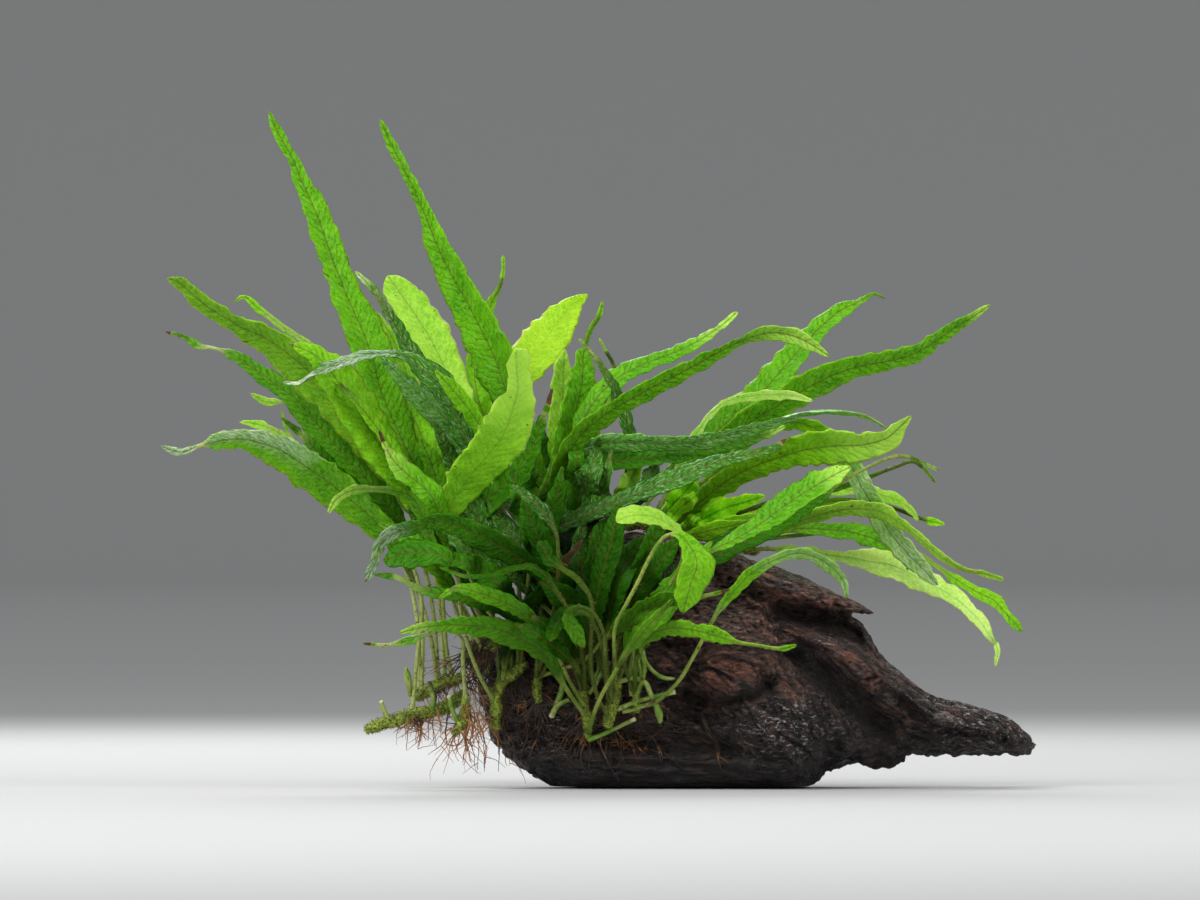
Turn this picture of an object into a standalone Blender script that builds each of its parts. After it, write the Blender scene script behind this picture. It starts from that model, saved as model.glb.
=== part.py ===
"""A java fern that has grown over a piece of driftwood.

Lengths in the tables are millimetres: x runs to the right, y away from the front, z up from the flat
worn underside of the wood. Fronds and rhizomes are drawn in the front view, as x and z, and their
depth y is given apart from that, because leaves that cross in the front view lie one behind another.
"""
import math

import bmesh
import bpy
import numpy as np
from mathutils import Vector

MM = 0.001
GAP = 0.4                # left between a piece and the one it grows on or rests against

# Driftwood: the outline seen from the front, as x and z, and how far it reaches forward and back.
WOOD_TOP = [(-77, 37), (-74, 44), (-68, 53), (-60, 62), (-52, 73), (-43, 82), (-33, 88), (-22, 90),
            (-10, 88.5), (0, 84.5), (8, 80), (18, 74), (30, 68.5), (42, 64), (50, 61), (55, 58.5),
            (58, 54), (60.5, 51), (64, 46), (68, 42), (72, 38), (77, 34.5), (82, 32), (90, 30),
            (100, 27.2), (106, 25), (110.5, 22), (114, 18.7), (117.4, 15.6)]
WOOD_BOTTOM = [(-77, 29), (-74, 16.5), (-68, 10.6), (-62.7, 6), (-56.4, 2.4), (-50, -1.5), (-42, -5),
               (-20, -6), (10, -5), (34, -5), (39, 0.5), (41, 3.6), (45, 6.2), (50, 7.4), (58, 7.6),
               (64, 7.6), (68, 8.5), (72, 10.4), (77, 12.2), (83, 10.6), (90, 10.8), (98, 11.6),
               (106, 11), (110.5, 10.6), (114, 12.3), (117.4, 14)]
WOOD_FRONT = [(-77, 8), (-72, 17), (-64, 25), (-50, 31), (-25, 34), (5, 37), (28, 37), (46, 33), (60, 27),
              (75, 20), (90, 15), (104, 11), (113, 8), (117.4, 4)]
WOOD_BACK = [(-77, 6), (-72, 15), (-60, 25), (-35, 33), (0, 36), (28, 34), (46, 29), (60, 24), (75, 18),
             (90, 13), (104, 10), (113, 7), (117.4, 3)]
SECTION_POWER = 2.3      # a section of the wood is an ellipse, slightly squared
WOOD_STATIONS = 48
WOOD_FRONT_SIDES = 18    # more on the front, which has the finer shape
WOOD_BACK_SIDES = 12

# What stands out from the front of the wood (+) or is worn into it (-): a height, a half width and
# the line it follows, as x and z.
WOOD_RELIEF = [
    (8, 5.5, [(20.6, 63.8), (41.4, 51), (60.5, 41.7), (72, 33), (85, 25), (100, 19)]),   # long ridge
    (5, 5, [(53, 38), (60, 30), (68, 22)]),                                            # second ridge
    (-11, 6.5, [(31, 48), (41, 40), (51, 31), (64, 22)]),                              # hollow below it
    (-13, 6, [(27, 60.5), (42, 57), (55, 53)]),                                        # recess under slab
    (11, 6.5, [(2, 42), (10, 39.5), (17, 38)]),                                        # red-brown lump
    (-8, 4.5, [(-8, 36), (0, 31)]),                                                    # gap under it
    (7, 4.5, [(-12, 45), (-10, 44)]),                                                  # small knob
    (-8, 5, [(-20, 50), (-16, 53), (-6, 53)]),                                         # hollow over it
    (6, 9, [(18, 25), (30, 17), (41, 8)]),                                             # fibrous flank
    (6, 5.5, [(-62, 9), (-30, 6), (5, 6), (34, 5)]),                                   # bottom band
    (-5, 4.5, [(-60, 19), (-30, 16), (8, 15)]),                                        # groove over it
    (-6, 10, [(-58, 40), (-34, 44)]),                                                  # hollow under plant
]
# The same for the back of the wood.
WOOD_BACK_RELIEF = [
    (7, 7, [(-62, 34), (-20, 58), (34, 52), (70, 30)]),     # long ridge
    (-8, 7, [(-50, 24), (0, 40), (46, 34), (84, 20)]),      # hollow below it
    (6, 6, [(-44, 12), (10, 20), (60, 16), (100, 18)]),     # low band
    (-6, 6, [(-34, 74), (4, 72), (34, 64)]),                # hollow under the crest
]

# Upper slab, which overhangs the recess and ends in a point.
SLAB_TOP = [(-16, 87), (0, 85.2), (7, 83.3), (13.4, 81.4), (18.7, 79), (28, 76), (34.3, 73.5), (42.4, 69.9),
            (51, 66.2), (57.4, 63), (60.6, 60.9)]
SLAB_BOTTOM = [(-16, 83), (0, 77), (10, 73), (20, 69), (30, 65), (46, 61.6), (57.4, 60.3), (60.6, 60.2)]
SLAB_FRONT = [(-16, 18), (0, 30), (18, 38), (32, 38), (45, 32), (55, 22), (60.6, 8)]
SLAB_BACK = [(-16, 12), (0, 24), (30, 24), (50, 12), (60.6, -4)]
SLAB_STATIONS = 13
SLAB_SIDES = 12
SLAB_SQUARING = 0.7, 0.6   # powers that square its sections off, across and up; 1 leaves an ellipse

UNDERSIDE_CENTRE = 20, 0, -25      # the block that is cut away under the wood, up to z = 0
UNDERSIDE_SIZE = 300, 200, 50

# Rhizomes: name, radius, what it lies on, and its line. On "front" or "crest" of the wood the line
# gives x, z or x, y and the wood gives the rest; a "free" one gives x, y, z.
RHIZOMES = [
    ("left_low", 2.1, "free", [(-116.7, -20, 20), (-108.6, -19, 22.8), (-99, -17, 25.6), (-91, -14, 27),
                               (-86, -12, 29.5), (-82, -9, 33)]),
    ("left_high", 2.3, "free", [(-99.9, -5, 31), (-94.7, -6, 33.8), (-90, -7, 36.2), (-83, -8, 38)]),
    ("left_hook", 1.8, "free", [(-86, -27, 18.7), (-83.4, -27, 21.4), (-81.9, -26, 26), (-81.8, -25, 31.5)]),
    ("left_fork", 1.9, "front", [(-71.4, 20.5), (-71.2, 26.8), (-71.2, 32.7), (-69, 37.5), (-64, 40.5),
                                 (-61, 43.5)]),
    ("left_crown", 4.2, "free", [(-80.5, -14, 45), (-77, -17, 47.5), (-72, -22, 50.5), (-67, -24, 54)]),
    ("wood_left", 1.5, "front", [(-56.2, 39.6), (-57, 34), (-56.3, 30)]),
    ("wood_middle", 1.4, "front", [(-40.2, 37.5), (-40.7, 30), (-39.6, 24), (-38.6, 16.5)]),
    ("wood_centre", 2.0, "front", [(-28.7, 37), (-30.3, 30), (-32.6, 21.5)]),
    ("wood_right", 1.4, "front", [(-23, 36), (-22.4, 31), (-22.2, 26.5)]),
    ("crest", 2.1, "crest", [(-63, -12), (-56, -13), (-47, -12), (-36, -9), (-24, -6), (-10, -3)]),
    ("back", 2.1, "crest", [(-26, 11), (-14, 13), (-2, 14), (8, 14), (20, 13)]),
]
RHIZOME_SPAN = 5         # between the rings of a rhizome
RHIZOME_END = 0.72       # how much of its radius is left at either end
RHIZOME_OFF = 0.5        # kept off the wood besides the gap
STEEPEST = 1.5           # slope of the wood that a rhizome's stand-off allows for
AXIS_FINENESS = 8        # points on a rhizome's line, where fronds can start, for each of its rings
# the way petioles lean off a rhizome, by what it lies on
LEANING = {"free": (0, -0.2, 0.3), "front": (0, -1, 0), "crest": (0, 0, 0.7)}

# Fronds: name, the rhizome that it grows on, how far it is turned out of the front view (its true
# width over the width that shows), its depth halfway and at its tip, and its line from tip to base.
# A row of the line is x, z and the width that shows, and where the blade is turned nearly edge on,
# its true width as well.
PETIOLE = 1.8            # thickness of a stalk
FRONDS = [
    ("tall_left", "left_crown", 1.2, -8, 10,
     [(-151, 236.5, 1), (-148.6, 230, 3.3), (-143, 220, 4), (-138.7, 210, 6), (-134.2, 200, 8.5),
      (-130.6, 190, 9.4), (-127, 180, 9.5), (-123, 170, 11), (-118.4, 160, 13), (-114.7, 150, 14),
      (-111.5, 138, 13), (-106, 125, 11), (-99, 110, 7), (-92, 94, 4), (-84, 76, 2), (-77, 62, 1.8),
      (-71, 51, 1.8)]),
    ("tall_right", "crest", -1.2, 8, 28,
     [(-112.4, 234, 1), (-108.2, 225, 3.5), (-103.5, 216, 4), (-95.4, 198, 6), (-92.3, 190, 8.5),
      (-87.5, 180, 10.5), (-82, 170, 12), (-76.9, 160, 13.7), (-72, 150, 15), (-68.8, 141, 13),
      (-63, 128, 11), (-58, 114, 7), (-51, 100, 3), (-44, 86, 1.8)]),
    ("left_upper", "left_crown", -1.3, -18, -34,
     [(-185.6, 177.5, 1), (-182.5, 176.5, 3.5), (-177, 172, 5), (-171.8, 167.7, 5.5), (-165, 163.5, 6),
      (-158, 159.5, 7.5), (-152, 157, 9), (-145.5, 152.5, 12), (-140, 148, 14), (-131, 139, 13),
      (-120, 126, 12), (-108, 110, 9), (-97, 92, 5), (-88, 74, 2), (-82, 60, 1.8), (-77, 48, 1.8)]),
    ("left_broad", "left_high", 1.2, -30, -50,
     [(-142.3, 154.2, 1.5), (-134, 150.5, 7), (-128, 144, 12), (-121, 134, 14), (-113, 121, 14),
      (-104, 108, 11), (-96, 94, 7), (-91, 78, 3), (-89.5, 60, 1.8), (-88.3, 46, 1.8), (-86.5, 37.5, 1.8)]),
    ("left_middle", "left_high", 1.3, -12, 4,
     [(-187.2, 159, 1), (-181, 157.3, 1.5), (-175.5, 153.8, 3), (-170.5, 153.3, 1, 3),
      (-163, 150.5, 4), (-157.5, 147, 5), (-151.5, 142.7, 6), (-146, 138.8, 7), (-140, 134, 9),
      (-135, 128, 10.5), (-129.5, 121.5, 12), (-122, 113, 12), (-112, 102, 9), (-103, 88, 5),
      (-96, 75, 2), (-93.8, 64.6, 1.8), (-92, 46.6, 1.8), (-91.4, 36, 1.8)]),
    ("left_low", "left_low", -1.25, -34, -62,
     [(-187, 119, 1), (-180, 117, 2.5), (-175, 118.7, 1.5), (-168, 120.7, 5), (-160, 121.5, 7),
      (-152, 119.8, 10), (-145, 117, 12), (-138, 112.3, 13), (-131, 107.5, 13.5), (-124, 102, 13),
      (-114, 93.5, 10), (-106, 85, 6), (-99.5, 75, 2), (-97.3, 66, 1.8), (-98.7, 46.6, 1.8),
      (-100.6, 26, 1.8)]),
    ("arch_dark", "crest", 1.3, -32, -58,
     [(-145, 141, 1, 2), (-140.4, 140.6, 1, 3), (-136, 142.7, 0.8, 5), (-131, 145.5, 3.5, 6),
      (-125, 147.5, 3.5, 7), (-115, 150.5, 2.8, 8), (-103, 149.5, 3, 9), (-95.6, 144.4, 8.5),
      (-91.5, 141.5, 9), (-86.9, 134.5, 9), (-83, 125, 9), (-77, 112, 6), (-69, 96, 3),
      (-62, 82, 1.8), (-59.5, 68, 1.8)]),
    ("dark_upright", "crest", 1.35, -16, -20,
     [(-120.5, 180, 1), (-116.5, 176, 2.5), (-112.5, 171, 3), (-109.5, 166, 3.3), (-106, 160.5, 4.5),
      (-103, 155, 5.5), (-100, 150, 6), (-94, 140, 7), (-87, 128, 7), (-79, 113, 5), (-67, 97, 3),
      (-56.5, 84, 1.8), (-53, 75, 1.8)]),
    ("dark_glossy", "crest", -1.3, -26, -38,
     [(-111.5, 150, 1), (-106, 145, 4), (-100, 139, 6.5), (-94, 133, 8), (-87, 127, 9), (-80, 119, 9),
      (-72, 108, 6), (-62, 95, 3), (-54, 86, 1.8), (-50, 79, 1.8)]),
    ("blunt_lime", "crest", 1.2, 2, 12,
     [(-109.5, 178.7, 3), (-108, 176.5, 7), (-104, 171, 11), (-99, 164, 13), (-94.5, 157, 14),
      (-91, 150, 13.5), (-88, 143, 12), (-84, 132, 11), (-78, 118, 8), (-68, 102, 4), (-53, 92, 1.8),
      (-41, 88, 1.8)]),
    ("bright_lime", "crest", -1.2, 16, 42,
     [(-39.3, 172.5, 1), (-45, 168.5, 7), (-50.5, 161.5, 13), (-55, 155.5, 15), (-60, 149, 15),
      (-64, 143, 13), (-67, 135, 12), (-66, 120, 9), (-60, 106, 5), (-46, 97, 2), (-38, 89, 1.8)]),
    ("torn_tip", "crest", 1.25, 0, 8,
     [(-40.5, 153, 5), (-41, 150, 6.5), (-41, 146, 8), (-41.5, 140, 10), (-43, 133, 12), (-45, 125, 12),
      (-47, 115, 11), (-46, 105, 7), (-40, 97, 3), (-35, 91, 1.8)]),
    ("twisted_dark", "crest", 1.4, -10, -20,
     [(-42.5, 156.5, 1), (-39, 152.5, 1.2), (-36, 149, 2.5), (-33, 144, 3), (-30, 139, 3.5),
      (-28.5, 134, 4), (-26, 128, 4.5), (-25, 122, 4.5), (-25, 108, 3.5), (-26.5, 99, 2), (-26.5, 92, 1.8)]),
    ("middle_thin", "crest", -1.3, -3, 10,
     [(13.2, 166, 2), (7.5, 161, 2.5), (0, 156, 3.8), (-8, 152, 4.5), (-16, 149, 5.5), (-23, 146, 6.5),
      (-29, 142.5, 7), (-35, 137, 7), (-41, 127, 6.5), (-43, 115, 5), (-38, 102, 3), (-31, 92, 1.8)]),
    ("long_curved", "crest", 1.3, -30, -52,
     [(44.9, 150, 1), (39, 154, 3.5), (33, 157, 5.5), (25, 158.5, 5), (15, 156, 3, 5), (5, 151, 4.5),
      (-5, 145.5, 6), (-15, 140.5, 6), (-25, 135, 6), (-34, 129.5, 6), (-42, 122.5, 7), (-47.5, 114, 6.5),
      (-52, 104, 5), (-55.5, 95, 3), (-57, 84, 1.8), (-56.2, 72, 1.8)]),
    ("right_high", "back", -1.3, 22, 48,
     [(65.5, 171, 1), (62, 172.6, 1), (56, 169.5, 3), (50, 166.8, 5), (44, 162, 6.5), (37, 155, 8),
      (30, 147, 9), (23, 139, 9.5), (15, 132, 10), (7, 125, 10), (0, 118, 8), (-11, 108, 5),
      (-19, 98, 2), (-24, 89, 1.8)]),
    ("right_upper", "back", 1.3, 10, 16,
     [(102, 168.7, 1), (97, 165.3, 2.5), (90, 161, 4), (82, 155.5, 5.5), (74, 151, 6.5),
      (65, 148.7, 7), (55, 146.8, 8), (46, 143.8, 9.5), (38, 139.7, 10.5), (30, 135, 10), (20, 129, 10),
      (10, 122, 9), (0, 113, 6), (-11, 102, 3), (-19.5, 90, 1.8)]),
    ("pale_arch", "crest", 1.4, -14, -30,
     [(39, 134.7, 1), (32, 136.7, 3), (23, 137, 3, 5), (14, 136, 2.5, 5), (8, 134, 2, 5),
      (3, 129.8, 1.8, 5), (0, 125.5, 2.5, 5), (-3, 121.5, 3), (-8, 110, 3), (-13, 100, 2), (-17.5, 92, 1.8)]),
    ("glossy_straight", "crest", 1.3, -20, -20,
     [(65, 125, 1), (61.9, 127.2, 1, 3), (57, 129.5, 1.5, 4), (50, 130.7, 1.3, 5), (42.6, 130.9, 1, 6),
      (35, 130, 1.5, 7), (24.5, 127, 3, 8), (12, 123.5, 4.5, 8), (0, 120.5, 5, 8), (-12, 120, 5, 9),
      (-24, 120.3, 6.5, 9), (-35, 120, 6, 8), (-43, 117, 4), (-49, 109, 3), (-50, 96, 1.8),
      (-47, 82, 1.8)]),
    ("glossy_grey", "crest", -1.3, -38, -36,
     [(30, 121.5, 1), (24, 117.5, 3), (16, 116, 3.5), (8, 114, 4.5), (0, 111, 6), (-8, 107.5, 6.5),
      (-16, 105, 6.5), (-25, 101, 5.5), (-34, 97.5, 6), (-48, 91, 4), (-57, 86, 2.5), (-63, 78, 1.8),
      (-63, 64, 1.8)]),
    ("right_broad", "back", 1.2, -18, -44,
     [(73, 129.5, 1), (69.5, 126, 4), (65, 122, 7.5), (57, 119.5, 9.5), (47, 119, 11.5),
      (38, 118, 11.5), (29, 115.5, 9.5), (20, 112.5, 9), (11, 108, 8), (3, 102, 7), (-5, 95, 3.5),
      (-10.5, 89, 1.8)]),
    ("right_long_front", "wood_centre", -1.25, -30, 6,
     [(84, 110.4, 1), (70, 115.5, 0.8, 2), (58, 111.3, 0.8, 3), (50, 107, 2), (42, 101.5, 4),
      (34, 96.8, 7), (25, 91.5, 8.5), (16, 87, 9), (7, 82.3, 9), (-2, 77.5, 8), (-12, 70, 5),
      (-19, 61, 3), (-24, 50, 1.8), (-29, 36, 1.8)]),
    ("right_lime_behind", "back", 1.2, 26, 34,
     [(51, 113, 1), (45, 107, 8), (38, 101, 13), (30, 95.5, 14), (20, 91, 10), (11, 90, 5),
      (1, 89.5, 1.8), (-6, 88, 1.8)]),
    ("right_lime_thin", "back", -1.4, 16, 18,
     [(76.8, 92.5, 1), (75, 95.5, 2), (70, 99.5, 3.5), (63, 102, 4.5), (55, 103.5, 4),
      (44, 103, 4), (33, 100, 4), (20, 96, 3), (8, 94, 2), (-1.5, 89, 1.8)]),
    ("right_club", "back", 1.4, -16, -32,
     [(105.5, 72.5, 2), (99, 74.5, 2), (92, 76, 2.5), (84, 80.5, 3), (77, 86.5, 3), (70, 92, 3.5),
      (64, 96, 5), (55, 97.3, 5.5), (45, 96, 5), (35, 93, 4), (22, 88.5, 3), (12, 87, 1.8), (5, 85.5, 1.8)]),
    ("right_narrow", "back", -1.4, 8, -1,
     [(112.4, 54.1, 2.5), (111, 56, 3), (107.4, 59.7, 3.5), (103, 64.7, 4.5), (96.7, 67.9, 4.5),
      (90.5, 71.6, 3.5), (84, 76, 2.5), (77, 81, 2.5), (68, 86, 3), (56, 88.5, 3), (42, 88.5, 2.5),
      (28, 87, 2), (18, 86, 1.8), (10, 84.5, 1.8)]),
    ("right_grey", "back", 1.3, -2, -14,
     [(83, 70.5, 2), (79, 75, 5), (73, 81, 7), (67, 88, 8.5), (62, 96, 8), (57, 104, 8), (53, 112, 7),
      (47, 120, 6), (40, 125.5, 5), (33, 127.5, 5), (20, 123, 4), (9, 113, 3), (-5, 101, 2),
      (-15, 90, 1.8)]),
    ("right_lime_low", "back", -1.25, 14, 26,
     [(104, 41.6, 1), (104.5, 48, 2), (102, 52, 3), (97, 59, 5), (91, 64.5, 6), (84, 69, 7),
      (76, 73, 9.5), (68, 77, 10), (60, 78.5, 9), (52, 79.9, 5), (43, 80.8, 4), (32, 82, 4),
      (24, 83, 2), (16, 82, 1.8)]),
    ("front_arch_right", "wood_right", 1.4, -58, -56,
     [(50.8, 66.2, 1), (49.5, 72, 2.5), (46, 76.5, 4), (41, 80, 4), (34, 82, 3.5), (26, 79.8, 3.5),
      (18, 75.5, 4.5), (12, 69.5, 4), (7, 63.5, 3), (3.5, 57.5, 1.8), (-2.8, 45.5, 1.8),
      (-8.8, 36, 1.8), (-16.2, 29.8, 1.8), (-22.3, 28, 1.8)]),
    ("front_low", "wood_right", 1.3, -66, -76,
     [(33, 50.2, 1), (27.5, 49, 2), (20, 50, 1.2, 3), (12, 51.3, 2.5), (5, 53.5, 5), (-3, 55.5, 4.5),
      (-11, 56, 5), (-17.5, 53.5, 4.5), (-20.5, 49.5, 2.5), (-19.5, 42, 1.8), (-22.5, 31.5, 1.8)]),
    ("front_pale_stub", "wood_right", 1.3, -58, -72,
     [(-29.3, 92.8, 4), (-27, 94, 5), (-20, 95, 6), (-12, 92.3, 4.5), (-7, 87.5, 3), (-6.5, 80, 1.8),
      (-11, 70, 1.8), (-18, 58, 1.8), (-23, 47, 1.8), (-23, 36, 1.8)]),
    ("front_hanging", "wood_centre", -1.2, -64, -72,
     [(-6.5, 61.2, 1), (-5.3, 66, 8), (-3.5, 72, 11), (-1.5, 78, 12), (-4, 84.5, 7), (-8.3, 88.3, 3.5),
      (-12, 88, 1.8), (-15, 85, 1.8), (-18.5, 79, 1.8), (-22.3, 71, 1.8), (-26, 64, 1.8), (-29.5, 57, 1.8),
      (-30, 46, 1.8), (-29.4, 33.5, 1.8)]),
    ("centre_broad", "left_crown", 1.15, -38, -78,
     [(-64.3, 152.7, 2.5), (-64, 151, 5.5), (-63.8, 145, 7.5), (-63.5, 138, 10), (-65.5, 131, 15),
      (-68, 124, 17), (-73, 117, 16), (-79, 110, 15), (-88, 96, 8), (-91, 84, 3), (-85, 68, 1.8),
      (-75, 48.5, 1.8)]),
    ("centre_brown_tip", "left_crown", -1.25, -40, -50,
     [(-51.5, 139, 1), (-53.5, 132, 2), (-56, 125, 4.5), (-59.5, 117, 8), (-64.5, 110, 11),
      (-71, 103.5, 12), (-77.5, 98, 10), (-81.5, 91, 6), (-82, 82, 2.5), (-77, 66, 1.8), (-67.5, 53.5, 1.8)]),
    ("left_yellow", "left_crown", 1.3, -40, -62,
     [(-111.5, 124.5, 1), (-110, 120, 1.5), (-107.5, 115, 4), (-103.5, 110.5, 7), (-98, 106, 8),
      (-93.5, 101.5, 8), (-91, 95, 6), (-87.5, 84, 3), (-81, 68, 1.8), (-72.5, 50, 1.8)]),
    ("left_light_arch", "left_crown", -1.5, -36, -66,
     [(-129.2, 95.5, 1), (-126.5, 100.5, 2.5), (-121, 103.7, 3), (-113, 104.2, 2.5), (-106, 103.5, 3),
      (-100, 101, 4), (-96, 93, 4), (-92, 80, 2.5), (-86, 64, 1.8), (-79.5, 46, 1.8)]),
    ("left_oval", "left_fork", 1.2, -44, -58,
     [(-110.3, 79.5, 1), (-109, 79.6, 4), (-103, 81.5, 9), (-96, 81.8, 10), (-89, 80.5, 6),
      (-85, 75, 3), (-83.5, 62, 1.8), (-81, 50, 1.8), (-76.1, 37.3, 1.8), (-71.3, 29, 1.8)]),
    ("centre_folded", "wood_middle", -1.25, -56, -68,
     [(-116.2, 72, 1), (-115, 74.5, 3), (-112.7, 79, 3), (-111.5, 84.5, 4), (-106, 89, 5),
      (-98, 91.5, 4.5), (-92, 93, 6), (-84, 91.5, 8), (-75, 87, 9), (-66, 82, 8), (-58, 77, 6),
      (-51, 69, 3), (-43, 58, 1.8), (-38, 48, 1.8), (-40.1, 37.5, 1.8)]),
    ("centre_dark", "wood_middle", 1.2, -42, -38,
     [(-92, 91.5, 1), (-86, 88, 6), (-79.5, 82, 9), (-72, 77.5, 9), (-65, 74, 6), (-57, 66, 3),
      (-48, 56, 1.8), (-42, 46, 1.8), (-40.4, 34, 1.8)]),
    ("left_grey", "wood_middle", 1.3, -44, -52,
     [(-113.3, 74.5, 1), (-106, 73.5, 2.5), (-98, 69.5, 3), (-90, 67.5, 4), (-80, 66, 6), (-70, 63.5, 6),
      (-60, 57, 4), (-51, 48, 2), (-46, 38, 1.8), (-40.6, 28.5, 1.8)]),
    ("left_bright_low", "wood_middle", -1.3, -48, -58,
     [(-104.6, 54.2, 1), (-98, 56, 3), (-89, 57, 4.5), (-79, 56.8, 7), (-69, 55, 9), (-60, 51, 8),
      (-53, 45, 5), (-47, 35, 2.5), (-39.8, 24.5, 1.8)]),
    ("left_string", "left_hook", 1.5, -32, -44,
     [(-117.3, 50.4, 1), (-109.9, 49.7, 1.5), (-103.2, 50.7, 3), (-93.9, 53.8, 1.5, 3), (-86.5, 54.6, 2),
      (-83.3, 52, 1.8), (-82.8, 44.3, 1.8), (-81.8, 30, 1.8)]),
    ("speckled", "left_fork", 1.3, -44, -50,
     [(-41, 86.5, 1.2), (-46, 80.5, 3), (-50, 76, 4), (-54, 70.5, 5), (-59.5, 64, 5.5),
      (-63.5, 57, 5.5), (-66, 50, 4.5), (-67.8, 44, 3), (-69, 37, 1.8)]),
    ("front_lobed", "wood_centre", -1.3, -60, -66,
     [(-40.5, 49, 1), (-42.5, 53, 5), (-45.5, 57.5, 5), (-46, 61.3, 3.5), (-42.5, 63.2, 2.5),
      (-38, 61.5, 2.2), (-34, 55, 1.8), (-33, 42, 1.8), (-30.6, 29, 1.8)]),
    ("front_spoon", "wood_centre", 1.2, -54, -60,
     [(-56.5, 85.8, 3), (-54.5, 83.5, 5), (-53, 80.5, 4.5), (-48, 76.5, 3), (-42, 72, 3), (-38, 65, 2.5),
      (-38, 56, 1.8), (-38, 42, 1.8), (-35.5, 31, 1.8), (-31.6, 24, 1.8)]),
    ("with_sori", "wood_left", 1.25, -58, -60,
     [(9.9, 69.3, 1), (3, 67.5, 2), (-5, 66, 4), (-12, 65.5, 7), (-20, 61.5, 8), (-27, 57, 6),
      (-31, 54, 3), (-35, 50.4, 1.8), (-40.7, 44.3, 1.8), (-47.6, 41.4, 1.8), (-56.2, 39, 1.8)]),
    ("front_straight", "wood_middle", -1.3, -64, -66,
     [(-8, 63.5, 1), (-12, 60.5, 4), (-21, 53.5, 5), (-26, 47, 3), (-30.2, 40, 1.8), (-35.6, 30, 1.8),
      (-39, 20, 1.8)]),
]
FROND_KNOTS = 14         # sections along a frond
THINNEST = 0.8           # least true width of a frond
BLADE_HALF = 0.5         # half the thickness of a blade along its midrib
TIP_HALF = 0.25          # and at its tip
BLADE_GAIN = 5           # a section this much wider than the stalk is all blade

# Settling: how fronds are moved in depth until they clear each other.
KEEP_APART = 3.0         # between the middles of two fronds
WOOD_CLEARANCE = 2.0     # between the middle of a frond and the wood
SAMPLE_STEP = 2.6        # between the points that stand for a blade
STEM_REACH = 5.2         # no rhizome is felt from further away
OWN_STEM = 1.2           # sections from its base within which a frond ignores its own rhizome
NEAR_BASE = 2            # sections from a base within which which-is-in-front is decided apart
SETTLING_ROUNDS = 160
SMOOTHED_ROUNDS = 120    # the first rounds, in which a frond's moves are also evened out along it
SETTLING_STEP = 0.7      # share of each push that is taken
EVENING = 0.1            # share of its move that a section passes to each neighbour


def clear_scene():
    for found in list(bpy.data.objects):
        bpy.data.objects.remove(found, do_unlink=True)


def material(name, colour, roughness):
    made = bpy.data.materials.new(name)
    made.use_nodes = True
    shader = made.node_tree.nodes["Principled BSDF"]
    shader.inputs["Base Color"].default_value = (*colour, 1)
    shader.inputs["Roughness"].default_value = roughness
    return made


def along(table, x):
    """The value that a two-column table has at x."""
    return float(np.interp(x, *zip(*table)))


def smooth_line(rows, count, plane=2):
    """Count points, evenly spaced along a smooth curve through the rows; each column is carried along."""
    rows = np.array(rows, float)
    at = np.concatenate(([0], np.cumsum(np.linalg.norm(np.diff(rows[:, :plane], axis=0), axis=1))))
    slopes = np.gradient(rows, at, axis=0)
    fine = np.linspace(0, at[-1], 30 * len(rows))
    first = np.clip(np.searchsorted(at, fine, side="right") - 1, 0, len(rows) - 2)
    span = (at[first + 1] - at[first])[:, None]
    t = (fine - at[first])[:, None] / span
    curve = ((2 * t**3 - 3 * t**2 + 1) * rows[first] + (t**3 - 2 * t**2 + t) * span * slopes[first]
             + (3 * t**2 - 2 * t**3) * rows[first + 1] + (t**3 - t**2) * span * slopes[first + 1])
    run = np.concatenate(([0], np.cumsum(np.linalg.norm(np.diff(curve[:, :plane], axis=0), axis=1))))
    even = np.linspace(0, run[-1], count)
    return np.column_stack([np.interp(even, run, column) for column in curve.T])


def loft(name, rings, skin):
    """A closed solid through rings of as many points each, in millimetres."""
    sides = len(rings[0])
    points = [Vector(point) * MM for ring in rings for point in ring]
    faces = [tuple(range(sides))[::-1], tuple((len(rings) - 1) * sides + k for k in range(sides))]
    for row in range(len(rings) - 1):
        for k in range(sides):
            here, nxt = row * sides + k, row * sides + (k + 1) % sides
            faces.append((here, nxt, nxt + sides, here + sides))
    mesh = bpy.data.meshes.new(name)
    mesh.from_pydata(points, [], faces)
    shaped = bmesh.new()
    shaped.from_mesh(mesh)
    bmesh.ops.recalc_face_normals(shaped, faces=shaped.faces)
    shaped.to_mesh(mesh)
    shaped.free()
    mesh.materials.append(skin)
    made = bpy.data.objects.new(name, mesh)
    bpy.context.scene.collection.objects.link(made)
    return made


# --- driftwood ---

def relief(x, z, features=WOOD_RELIEF):
    """How far one side of the wood stands out at x, z."""
    total = 0.0
    for height, half_width, line in features:
        nearest = 1e9
        for (x0, z0), (x1, z1) in zip(line, line[1:]):
            length = (x1 - x0)**2 + (z1 - z0)**2
            t = min(1, max(0, ((x - x0) * (x1 - x0) + (z - z0) * (z1 - z0)) / length))
            nearest = min(nearest, math.hypot(x - x0 - t * (x1 - x0), z - z0 - t * (z1 - z0)))
        total += height * math.exp(-(nearest / half_width)**2)
    return total


def wood_section(x):
    top, bottom = along(WOOD_TOP, x), along(WOOD_BOTTOM, x)
    return (top + bottom) / 2, (top - bottom) / 2


def squared(value):
    return max(0.0, 1 - min(1, abs(value))**SECTION_POWER)**(1 / SECTION_POWER)


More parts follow.
